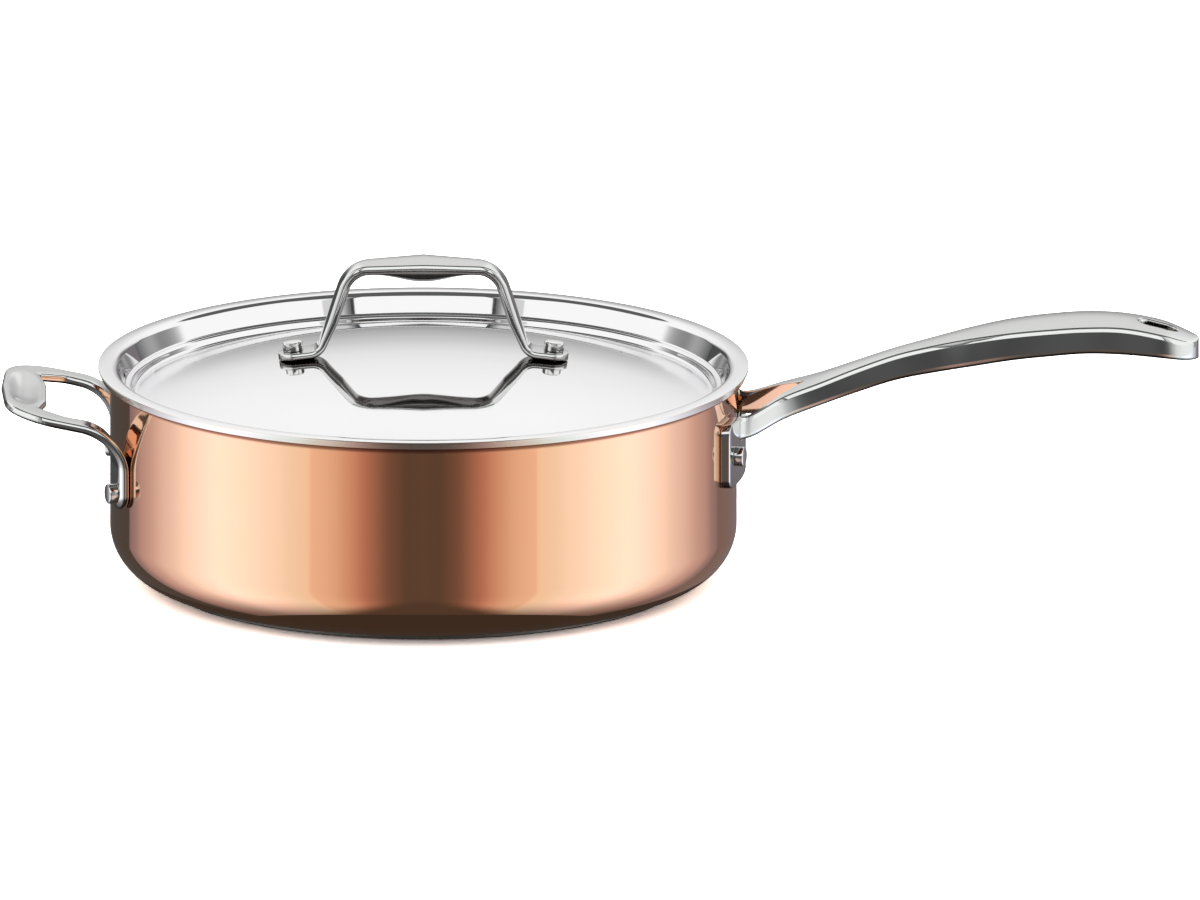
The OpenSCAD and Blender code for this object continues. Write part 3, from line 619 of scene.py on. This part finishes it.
helper_handle = make_mesh("helper_handle_cast", *slab(blank, strap_rows, u_cuts + v_cuts, strap_point))
print("the blank has", len(blank), "points")
settle(helper_handle, "helper_handle", "pan", crisp=28)

# %% [markdown]
# ## The lid
# The lid is spun from one sheet: a low dome, a step down into the pan that centres it, and a flat
# flange that lies on the rim. Its underside runs at a constant distance under its upper face.

# %% Lid: the spun sheet
LID_T, LID_R, FLANGE_W, FLANGE_R = 1.0, 127, 7.1, 3.2
FLANGE_Z, LEDGE_Z, DOME_EDGE_Z, DOME_R, DOME_RISE = 85.2, 77.2, 73.7, 113.0, 16.8
DOME_TOP_Z = DOME_EDGE_Z + DOME_RISE
UPPER_STEP_R, LEDGE_R, LEDGE_ROUND_R = 116.3, 114.0, 1.5
DOME_STEPS, DOME_FALL = 60, 0.18                       # the share of the dome that falls late, near its edge


def dome_z(r):
    """Height of the dome's upper face at a distance from its middle."""
    s = (r / DOME_R) ** 2
    return DOME_TOP_Z - DOME_RISE * ((1 - DOME_FALL) * s + DOME_FALL * s * s)


def dome_slope(r):
    """How steeply the dome falls there, in radians."""
    s = r / DOME_R
    return math.atan(DOME_RISE / DOME_R * (2 * (1 - DOME_FALL) * s + 4 * DOME_FALL * s ** 3))


dome_line = [(DOME_R * i / DOME_STEPS, dome_z(DOME_R * i / DOME_STEPS)) for i in range(DOME_STEPS - 1)]
last_r = DOME_R * (1 - 1 / DOME_STEPS)
lid_path = dome_line + round_path([
    (last_r, dome_z(last_r), 0), (DOME_R, DOME_EDGE_Z, LEDGE_ROUND_R), (LEDGE_R, LEDGE_Z, LEDGE_ROUND_R),
    (UPPER_STEP_R, LEDGE_Z, LEDGE_ROUND_R / 2), (LID_R - FLANGE_W, FLANGE_Z, FLANGE_R), (LID_R, FLANGE_Z, 0)], 16)


def under(path, distance):
    """A path moved by a distance to its right, which is downwards for one that runs outwards."""
    moved = []
    for i, p in enumerate(path):
        along = (Vector(path[min(i + 1, len(path) - 1)]) - Vector(path[max(i - 1, 0)])).normalized()
        moved.append((p[0] + along.y * distance, p[1] - along.x * distance))
    return moved


lid_under = under(lid_path, LID_T)
lid_under[0] = (0, DOME_TOP_Z - LID_T)
LID_EDGE = ((0.2, 0), (0.06, 0.06), (0, 0.2))          # the rounded corner of the cut edge: inwards, down
lid_edge = [(LID_R - inwards, FLANGE_Z - down) for inwards, down in LID_EDGE]
lid_edge += [(LID_R - inwards, RIM_TOP_Z + up) for inwards, up in LID_EDGE[::-1]]
lid_shell = make_mesh("lid_shell_spun", *spin(lid_path[:-1] + lid_edge + lid_under[-2::-1], 320))
settle(lid_shell, "lid_shell", "lid", crisp=35)

# %% [markdown]
# ## The lid's handle
# A cast strap stands on two feet that are riveted to the dome. It has a crease along the middle of
# its grip and a rounded belly below, where the fingers go. Its line is drawn once, from the left
# foot to the middle, and its thickness and width are given along that line.

# %% Lid handle
STRAP_T, STRAP_FOOT_T, STRAP_W, STRAP_GRIP_W, STRAP_BELLY = 5.1, 3.4, 13.4, 19.4, 4.5
STRAP_RIVET_X, STRAP_END_X, LEG_GAP, TOP_GAP = 50.4, 56.7, 83.4, 61.4
STRAP_CORNER_R, STRAP_FOOT_R, STRAP_TOP_Z, CREASE_DROP = 14, 4, 128.7, 2.2
STRAP_SIDE = [(28, 20, 0.9), (20, -5, 0.5), (-5, -16, 1.4)]
BELLY_REACH, BROAD_REACH, LEG_FADE, FOOT_TILT, GRIP_TILT, END_STUB = 21, 26, 12, 3, 14, 0.16
foot_slope = dome_slope(STRAP_RIVET_X)
foot_rise = (STRAP_FOOT_T + SEAT_GAP) / math.cos(foot_slope)


def foot_top(x):
    """Height of a foot's upper face."""
    return dome_z(STRAP_RIVET_X) + foot_rise + (STRAP_RIVET_X - x) * math.tan(foot_slope)


left_half = round_path([
    (-STRAP_END_X, foot_top(STRAP_END_X), 0), (-LEG_GAP / 2, foot_top(LEG_GAP / 2), STRAP_FOOT_R),
    (-TOP_GAP / 2, STRAP_TOP_Z - CREASE_DROP, STRAP_CORNER_R), (-TOP_GAP / 4, STRAP_TOP_Z - CREASE_DROP / 2, 0),
    (0, STRAP_TOP_Z, 0)], 18)
left_half = fine(left_half, 0.7)
strap_line = left_half + [(-x, z) for x, z in left_half[-2::-1]]


def grip_share(x, z, reach):
    """1 at the middle of the grip, falling to 0 at a distance from it."""
    return max(1 - abs(x) / reach, 0) if z > STRAP_TOP_Z - STRAP_CORNER_R else 0


def strap_half(x, z):
    """Half a section of the strap: thin and flat at the feet, deep, broad and crowned at the grip."""
    leg = min(max((z - foot_top(LEG_GAP / 2)) / LEG_FADE, 0), 1)
    belly = ease(grip_share(x, z, BELLY_REACH), 0, 1)
    deep = STRAP_FOOT_T + (STRAP_T - STRAP_FOOT_T) * leg + STRAP_BELLY * belly
    half_w = STRAP_W / 2 + (STRAP_GRIP_W - STRAP_W) / 2 * grip_share(x, z, BROAD_REACH)
    fit = min(deep / STRAP_T, 1)
    side = [(start, end, length * fit) for start, end, length in STRAP_SIDE]
    return bar_half(half_w, deep, FOOT_TILT + (GRIP_TILT - FOOT_TILT) * leg, side)


strap_rings = []
for i, (x, z) in enumerate(strap_line):
    before, after = strap_line[max(i - 1, 0)], strap_line[min(i + 1, len(strap_line) - 1)]
    along = (Vector(after) - Vector(before)).normalized()
    end = min((STRAP_END_X - abs(x)) / (0.5 * STRAP_W), 1)
    narrow = max(math.sqrt(1 - (1 - end) ** 2), END_STUB)
    half = [(out * narrow, down) for out, down in strap_half(x, z)]
    strap_rings.append([(x + along.y * down, out, z - along.x * down)
                        for out, down in half + [(-out, down) for out, down in half[-2:0:-1]]])
lid_handle = make_mesh("lid_handle_cast", *skin(strap_rings))
settle(lid_handle, "lid_handle", "lid", crisp=28)

# %% [markdown]
# The handle's two rivets go through the dome, which slopes a little where the feet lie. Each rivet
# is turned by that slope, so that its heads sit flat on both sides of the sheet.

# %% Lid rivets, square to the dome's face
lid_under_grip = LID_T + SEAT_GAP + FLAT_R ** 2 / DOME_R
lid_grip = lid_under_grip + STRAP_FOOT_T + 2 * SEAT_GAP
lid_rivets = []
for node, side in (("lid_rivet_left", -1), ("lid_rivet_right", 1)):
    stance = (Matrix.Translation((side * STRAP_RIVET_X, 0, dome_z(STRAP_RIVET_X)))
              @ Matrix.Rotation(side * foot_slope, 4, "Y") @ Matrix.Translation((0, 0, -lid_under_grip)))
    lid_rivets.append(make_rivet(node + "_turned", node, "lid", lid_grip, stance))

# %% [markdown]
# ## Writing finishes as sums
# A finish is worked out by nodes. To keep it readable, a `Wire` stands for one output of a node,
# and sums and products of wires add Math nodes, so that `0.3 * mask + 0.05` reads as it is meant.

# %% Wires between nodes
class Wire:
    """One output of a node in a material."""

    def __init__(self, tree, socket=None):
        self.tree, self.socket = tree, socket

    def node(self, kind, settings=None, sockets=None, output=0):
        """Adds a node: its settings first, then the values or wires of its sockets."""
        made = self.tree.nodes.new("ShaderNode" + kind)
        for name, value in (settings or {}).items():
            if name == "stops":
                ramp = made.color_ramp
                ramp.elements.remove(ramp.elements[1])
                ramp.elements[0].position, ramp.elements[0].color = value[0]
                for place, colour in value[1:]:
                    ramp.elements.new(place).color = colour
            elif name == "interpolation":
                made.color_ramp.interpolation = value
            else:
                setattr(made, name, value)
        for name, value in (sockets or {}).items():
            if isinstance(value, Wire):
                self.tree.links.new(value.socket, made.inputs[name])
            else:
                made.inputs[name].default_value = value
        return Wire(self.tree, made.outputs[output]) if made.outputs else None

    def math(self, operation, first, second=0.0):
        return self.node("Math", {"operation": operation}, {0: first, 1: second})

    def __add__(self, other): return self.math("ADD", self, other)
    def __sub__(self, other): return self.math("SUBTRACT", self, other)
    def __rsub__(self, other): return self.math("SUBTRACT", other, self)
    def __mul__(self, other): return self.math("MULTIPLY", self, other)
    __radd__, __rmul__ = __add__, __mul__

    def rise(self, low, high):
        """0 below low, 1 above high, smooth between them."""
        return self.node("MapRange", {"interpolation_type": "SMOOTHSTEP"}, {0: self, 1: low, 2: high})

    def mix(self, first, second):
        """The first colour where this wire is 0 and the second where it is 1."""
        return self.node("Mix", {"data_type": "RGBA"}, {0: self, 6: first, 7: second}, output=2)


def colour(red, green, blue):
    return (red, green, blue, 1.0)

# %% [markdown]
# ## Metal finishes
# Metal has almost no colour of its own: it shows its surroundings, tinted and more or less blurred.
# So a finish here is a tint, a roughness and the fine marks of the tool that made it. Turned and
# spun pieces carry fine rings, cast and forged ones a fine even grain, and edges that a polishing
# wheel reaches are smoother than the satin faces between them. The handles' undersides get a dark
# tint that is painted shade.

# %% The marks of the tools
def flat_place(start):
    """The place of a point in the plan: its height is left out."""
    place = start.node("TexCoord", output="Object")
    return start.node("VectorMath", {"operation": "MULTIPLY"}, {0: place, 1: (1, 1, 0)})


def out_from_axis(start):
    """Distance from the pan's axis, in millimetres."""
    return start.node("VectorMath", {"operation": "LENGTH"}, {0: flat_place(start)}, output="Value") * (1 / MM)


def up_from_floor(start):
    """Height over the floor, in millimetres."""
    return start.node("SeparateXYZ", sockets={0: start.node("TexCoord", output="Object")}, output="Z") * (1 / MM)


def up_share(start):
    """1 where the surface faces straight up, 0 where it is upright."""
    normal = start.node("TexCoord", output="Normal")
    return start.node("SeparateXYZ", sockets={0: normal}, output="Z")


def rings_around(start, per_mm, drift=3.0):
    """A noise that runs in rings round the pan's axis, from 0 to 1."""
    turn = start.node("VectorMath", {"operation": "NORMALIZE"}, {0: flat_place(start)})
    east, north = (start.node("SeparateXYZ", sockets={0: turn}, output=o) for o in ("X", "Y"))
    cell = start.node("CombineXYZ", sockets={0: out_from_axis(start) * per_mm, 1: up_from_floor(start) * per_mm,
                                             2: east * drift})
    return start.node("TexNoise", {"noise_dimensions": "4D"},
                      {"Vector": cell, "W": north * drift, "Scale": 1.0, "Detail": 3.0})


def even_grain(start, per_mm, stretch=(1, 1, 1)):
    """A fine grain without direction, or drawn out along one axis."""
    place = start.node("TexCoord", output="Object")
    cell = start.node("VectorMath", {"operation": "MULTIPLY"}, {0: place, 1: stretch})
    return start.node("TexNoise", sockets={"Vector": cell, "Scale": per_mm / MM, "Detail": 4.0})


def metal(name, make):
    """A metal. make(start) gives its tint, its roughness, and its marks with their depth in millimetres."""
    made = bpy.data.materials.new(name)
    made.use_nodes = True
    tree = made.node_tree
    shader = tree.nodes["Principled BSDF"]
    shader.inputs["Metallic"].default_value = 1.0
    tint, rough, marks, depth = make(Wire(tree))
    normal = Wire(tree).node("Bump", sockets={"Height": marks, "Distance": depth * MM, "Strength": 1.0})
    for socket, value in (("Base Color", tint), ("Roughness", rough), ("Normal", normal)):
        tree.links.new(value.socket, shader.inputs[socket])
    print(name, "takes", len(tree.nodes), "nodes")
    return made


print("finishes are placed by height, up to the rim at", RIM_TOP_Z, "mm, and by distance from the axis")

# %% [markdown]
# The vessel and the lid are spun and buffed in rings. Copper gets a warm tint, with a band of painted
# shade under the rolled rim, the lid is the brightest steel, and the liner keeps coarser rings that scatter light.

# %% Copper, lid steel and liner
def polished_copper(start):
    rings = rings_around(start, 1.6)
    clouds = even_grain(start, 0.03)
    # painted shade: a band of dark copper just under the rolled rim, which is also made rougher
    painted_shade_under_rim = up_from_floor(start).rise(79.3, 80.5)
    tint = clouds.mix(colour(0.94, 0.52, 0.325), colour(0.95, 0.54, 0.345))
    tint = painted_shade_under_rim.mix(tint, colour(0.3, 0.13, 0.08))
    return tint, 0.05 + 0.02 * rings + 0.2 * painted_shade_under_rim, rings, 0.0004


def polished_lid_steel(start):
    rings = rings_around(start, 1.4)
    clouds = even_grain(start, 0.03)
    out = out_from_axis(start)
    cut_edge = out.rise(126.7, 126.95)
    dome_edge = out.rise(60, 112) * (1 - out.rise(112, 113.5))
    tint = clouds.mix(colour(0.80, 0.795, 0.805), colour(0.83, 0.825, 0.835))
    tint = cut_edge.mix(tint, colour(0.82, 0.77, 0.72))
    ring_band = out.rise(55, 80) * (1 - out.rise(106, 110))
    return tint, 0.03 + 0.015 * rings + 0.14 * dome_edge + 0.07 * cut_edge, rings * ring_band, 0.0004


def spun_liner(start):
    rings = rings_around(start, 3.0)
    clouds = even_grain(start, 0.05)
    tint = clouds.mix(colour(0.74, 0.74, 0.73), colour(0.80, 0.80, 0.79))
    cut_edge = out_from_axis(start).rise(125.5, 125.8)
    return tint, 0.2 + 0.12 * rings - 0.12 * cut_edge, rings, 0.002


def cut_aluminium(start):
    rings = rings_around(start, 5.0)
    tint = rings.mix(colour(0.74, 0.70, 0.66), colour(0.82, 0.77, 0.72))
    return tint, 0.14 + 0.08 * rings, rings, 0.001


def turned_disc(start):
    rings = rings_around(start, 2.5)
    tint = rings.mix(colour(0.42, 0.41, 0.40), colour(0.54, 0.53, 0.52))
    return tint, 0.32 + 0.12 * rings, rings, 0.004


copper_metal = metal("polished copper", polished_copper)
lid_metal = metal("polished lid steel", polished_lid_steel)
liner_metal = metal("spun steel liner", spun_liner)
edge_metal = metal("cut aluminium", cut_aluminium)
disc_metal = metal("turned steel disc", turned_disc)
print("metals so far:", len(bpy.data.materials))

# %% [markdown]
# The handles are satin where they face up. Their bevels and sides take a brighter tint, a painted
# highlight, and their undersides a dark, rougher one, painted shade. The rivets are small and bright, with a satin
# top.

# %% Handles and rivets
def satin_handle(start):
    grain = even_grain(start, 4.0, (0.25, 1, 1))
    clouds = even_grain(start, 0.05)
    satin = up_share(start).rise(0.9, 0.97)
    # satin tops keep a darker tint; bevels and sides take a brighter one, which paints their highlights
    painted_bevel_highlight = clouds.mix(colour(0.72, 0.735, 0.725), colour(0.76, 0.77, 0.76))
    tint = satin.mix(painted_bevel_highlight, colour(0.565, 0.57, 0.56))
    # painted shade: faces that look down take a dark tint and more roughness
    painted_underside_shade = (up_share(start) * -1).rise(0.04, 0.25)
    tint = painted_underside_shade.mix(tint, colour(0.2, 0.187, 0.178))
    return tint, 0.045 + 0.1 * satin + 0.1 * painted_underside_shade + 0.02 * grain, grain, 0.0002


def turned_rivet(start):
    grain = even_grain(start, 4.0)
    satin = up_share(start).rise(0.8, 0.97)
    tint = grain.mix(colour(0.76, 0.76, 0.75), colour(0.80, 0.80, 0.79))
    return tint, 0.05 + 0.15 * satin + 0.02 * grain, grain, 0.0003


handle_metal = metal("satin handle steel", satin_handle)
rivet_metal = metal("turned rivet steel", turned_rivet)
for pieces, finish in (
    ([copper_shell], copper_metal), ([aluminium_core], edge_metal), ([steel_liner], liner_metal),
    ([base_disc], disc_metal), ([lid_shell], lid_metal), ([long_handle, helper_handle, lid_handle], handle_metal),
    (wall_rivets + lid_rivets, rivet_metal),
):
    for piece in pieces:
        piece.data.materials.clear()
        piece.data.materials.append(finish)
        print(piece.name, "is", finish.name)

# %% [markdown]
# ## The studio
# Shiny metal is photographed inside a tent of white cloth, so that it has something quiet to
# reflect. A dark card at the camera gives the wall its dark middle, bright panels at both sides give
# it the light bands, and a dark gap overhead draws the thin lines along the edges. The tent is a
# huge sphere that only reflections can see. Its light depends on the direction from the pan.

# %% The tent
def studio_piece(name, shape, height):
    """A piece of the studio with an empty material, and the start of that material's nodes."""
    mesh = bpy.data.meshes.new(name)
    shape.to_mesh(mesh)
    shape.free()
    made = bpy.data.objects.new(name, mesh)
    made.location = (0, 0, height * MM)
    bpy.context.scene.collection.objects.link(made)
    cover = bpy.data.materials.new(name + " cover")
    cover.use_nodes = True
    cover.cycles.emission_sampling = "NONE"
    cover.node_tree.nodes.clear()
    mesh.materials.append(cover)
    return made, Wire(cover.node_tree)


def for_mirrors_only(piece):
    """Hides a piece from all light but reflections."""
    piece.visible_camera = piece.visible_diffuse = piece.visible_shadow = False
    piece.visible_transmission = piece.visible_volume_scatter = False


TENT_R, TENT_Z = 10000, 50
shape = bmesh.new()
bmesh.ops.create_uvsphere(shape, u_segments=96, v_segments=48, radius=TENT_R * MM)
tent, start = studio_piece("tent", shape, TENT_Z)
for_mirrors_only(tent)
print("the tent has", len(tent.data.polygons), "faces")

# %% [markdown]
# Every point of the tent lies in a direction from the pan. `height` is that direction's angle over
# the horizon, `around` is its turn away from the camera, from 0 in front to 180 at the back, both
# in degrees. `ramp` turns such an angle into a smooth run of greys or colours.

# %% The tent's directions
def ramp(wire, low, high, stops, top):
    """A smooth colour along a range of degrees, from stops of (degrees, red, green, blue) divided by top."""
    share = wire.node("MapRange", sockets={0: wire, 1: low, 2: high})
    shades = [((d - low) / (high - low), colour(*[part / top for part in tint])) for d, *tint in stops]
    made = wire.node("ValToRGB", {"interpolation": "CARDINAL", "stops": shades}, {0: share})
    return wire.node("VectorMath", {"operation": "SCALE"}, {0: made, "Scale": top})


outward = start.node("VectorMath", {"operation": "NORMALIZE"}, {0: start.node("TexCoord", output="Object")})
east, north, up = (start.node("SeparateXYZ", sockets={0: outward}, output=o) for o in ("X", "Y", "Z"))
DEGREES = 180 / math.pi
height = start.math("ARCSINE", up) * DEGREES
around = start.math("ABSOLUTE", start.math("ARCTAN2", east, north * -1)) * DEGREES
right = east.rise(-0.01, 0.01)
beside = around.rise(42.2, 42.8)
print("a direction straight up is", round(math.asin(1) * DEGREES), "degrees high")

# %% [markdown]
# The wall mirrors a belt just under the horizon: the brown card with soft edges in front, and from
# 42 degrees on the bright side panels. Lid and handles mirror higher directions: greys over the
# card, a white wing over the panels, and above the camera a soft box with a thin dark frame.

# %% The card in front and the panels at both sides
def plain_ramp(wire, low, high, stops, top):
    """A ramp of greys, from stops of (degrees, brightness)."""
    return ramp(wire, low, high, [(degrees, v, v, v) for degrees, v in stops], top)


card = ramp(around, 0, 43, [(0, 0.12, 0.096, 0.084), (8, 0.13, 0.1, 0.086), (16, 0.28, 0.18, 0.15),
                            (24, 0.56, 0.36, 0.31), (32, 0.76, 0.63, 0.54), (43, 0.9, 0.82, 0.75)], 1.0)
panels = ramp(around, 42, 140, [(42, 0.95, 0.97, 0.9), (53, 1.0, 1.13, 1.15), (62, 1.23, 1.27, 1.38),
                                (78, 1.4, 1.48, 1.66), (88, 1.35, 1.41, 1.65), (102, 1.0, 1.08, 1.2),
                                (116, 0.72, 0.7, 0.79), (130, 0.45, 0.4, 0.45), (139, 0.25, 0.24, 0.3)], 1.7)
low_light = beside.mix(card, panels)
greys = plain_ramp(around, 0, 140, [(0, 0.1), (22, 0.1), (30, 0.3), (43, 0.8), (56, 1.0), (80, 1.08),
                                    (106, 0.95), (112, 0.5), (120, 0.3), (128, 0.42), (139, 0.14)], 1.3)
light = height.rise(-11.5, -8.5).mix(low_light, greys)
wing = height.rise(5, 11) * (1 - around.rise(106, 110))
wing = beside * (wing + (1 - wing) * height.rise(16, 22))
light = wing.mix(light, colour(1.15, 1.15, 1.14))
soft_box = 1 - around.rise(29.0, 29.4)
box_frame = around.rise(29.0, 29.4) * (1 - around.rise(30.5, 30.9))
box_side = around.rise(30.5, 36) * 0.6 + 0.17
above = soft_box * 1.15 + (1 - soft_box) * (box_frame * 0.05 + (1 - box_frame) * box_side)
light = (height.rise(20.5, 22.5) * (1 - beside)).mix(light, above)
print("the front's light takes", len(start.tree.nodes), "nodes")

# %% [markdown]
# The far half of the lid mirrors the back of the tent, which darkens towards the horizon and has a
# gap near its corners. A dark gap overhead draws the thin lines along the edges. Low directions
# fade to dark, because there the pan's corner would mirror the shaded floor.

# %% The back, the overhead gap and the dark under the pan
back = plain_ramp(height, -40, 50, [(-40, 0.1), (-20, 0.13), (-12, 0.17), (-6, 0.25), (-1.5, 0.35), (2.3, 0.46),
                                    (6, 0.58), (9.6, 0.71), (13, 0.86), (17, 0.96), (23, 1.04), (35, 1.12)], 1.5)
gap = 1 - around.rise(156, 168) * height.rise(-6, 2) - (1 - around.rise(156, 168)) * height.rise(10, 20)
gap = gap * (1 - around.rise(166, 174))
back = gap.mix(back, right.mix(colour(0.08, 0.083, 0.083), colour(0.21, 0.19, 0.2)))
light = around.rise(138.6, 139.4).mix(light, back)
side_dip = around.rise(72, 112) * (1 - around.rise(148, 172))
overhead = (height - around * 0.11 + side_dip * 22).rise(45.0, 47.5)
light = overhead.mix(light, colour(0.12, 0.125, 0.12))
light = height.rise(-74, -33).mix(colour(0.05, 0.045, 0.04), light)
light = (height + around * 0.8).rise(-36, -14).mix(colour(0.085, 0.072, 0.064), light)
light = height.rise(-85, -77).mix(colour(0.015, 0.015, 0.015), light)
glow = start.node("Emission", sockets={"Color": light, "Strength": 1.0})
start.node("OutputMaterial", sockets={"Surface": glow})
print("the tent's cover has", len(start.tree.nodes), "nodes")

# %% [markdown]
# Polished copper also mirrors the floor that it stands on. Right under the pan that floor is in deep
# shadow, so a dark round sheet lies there, which only reflections can see.

# %% The shadow that the copper mirrors
SHADOW_R, FRONT_SHADOW_Y, FRONT_SHADOW_R = 115, -50, 80.5
SHADOW_Z, FRONT_SHADOW_DROP = -0.6, -0.3
shape = bmesh.new()
bmesh.ops.create_circle(shape, cap_ends=True, segments=128, radius=SHADOW_R * MM)
front = Matrix.Translation((0, FRONT_SHADOW_Y * MM, FRONT_SHADOW_DROP * MM))
bmesh.ops.create_circle(shape, cap_ends=True, segments=128, radius=FRONT_SHADOW_R * MM, matrix=front)
shadow_sheet, start = studio_piece("shadow_sheet", shape, SHADOW_Z)
for_mirrors_only(shadow_sheet)
glow = start.node("Emission", sockets={"Color": colour(0.05, 0.045, 0.04)})
start.node("OutputMaterial", sockets={"Surface": glow})
print("the shadow reaches", SHADOW_R, "mm out, and", FRONT_SHADOW_R - FRONT_SHADOW_Y, "mm in front")

# %% [markdown]
# ## Floor and daylight
# The pan stands on a plain white floor. For the camera the floor is lifted until it clips to white,
# so that only the thin contact shadow under the base stays. The world is plain white light.

# %% Floor and world
FLOOR_R = 8000
shape = bmesh.new()
bmesh.ops.create_circle(shape, cap_ends=True, segments=96, radius=FLOOR_R * MM)
floor, start = studio_piece("floor", shape, 0)
floor.visible_glossy = False
white = colour(1, 1, 1)
plain = start.node("BsdfDiffuse", sockets={"Color": colour(0.8, 0.8, 0.8)})
sheet = start.node("BsdfDiffuse", sockets={"Color": white})
lifted = start.node("AddShader", sockets={0: start.node("AddShader", sockets={0: sheet, 1: sheet}), 1: plain})
rays = ("Is Camera Ray", "Is Glossy Ray", "Is Transmission Ray")
seen = sum((start.node("LightPath", output=ray) for ray in rays), 0.0)
shown = start.node("MixShader", sockets={0: seen, 1: plain, 2: lifted})
start.node("OutputMaterial", sockets={"Surface": shown})

world = bpy.data.worlds.new("daylight")
world.use_nodes = True
world.node_tree.nodes["Background"].inputs["Color"].default_value = white
world.node_tree.nodes["Background"].inputs["Strength"].default_value = 1.0
bpy.context.scene.world = world
print("the floor is", 2 * FLOOR_R, "mm across")

# %% [markdown]
# ## The camera
# The photograph shows no perspective, so the camera is orthographic. The rim's ellipse tells how far
# it looks down, and the scale and the aim place the pan in the picture as in the photograph.

# %% Camera at the photograph's angle
CAMERA_UP, CAMERA_OFF, PICTURE_W, AIM_X, AIM_Z = math.radians(13.86), 3000, 468.2, 68.9, 51.0
camera_data = bpy.data.cameras.new("camera")
camera_data.type = "ORTHO"
camera_data.ortho_scale = PICTURE_W * MM
camera = bpy.data.objects.new("camera", camera_data)
bpy.context.scene.collection.objects.link(camera)
aim = Vector((AIM_X, 0, AIM_Z)) * MM
back_off = Vector((0, -math.cos(CAMERA_UP), math.sin(CAMERA_UP)))
camera.location = aim + CAMERA_OFF * MM * back_off
camera.rotation_mode = "QUATERNION"
camera.rotation_quaternion = (-back_off).to_track_quat("-Z", "Y")
bpy.context.scene.camera = camera
bpy.context.scene.view_settings.view_transform = "Standard"
print("the picture is", PICTURE_W, "mm wide")

# %% [markdown]
# Last, the view layer is updated once more.

# %% Update the view layer
bpy.context.view_layer.update()
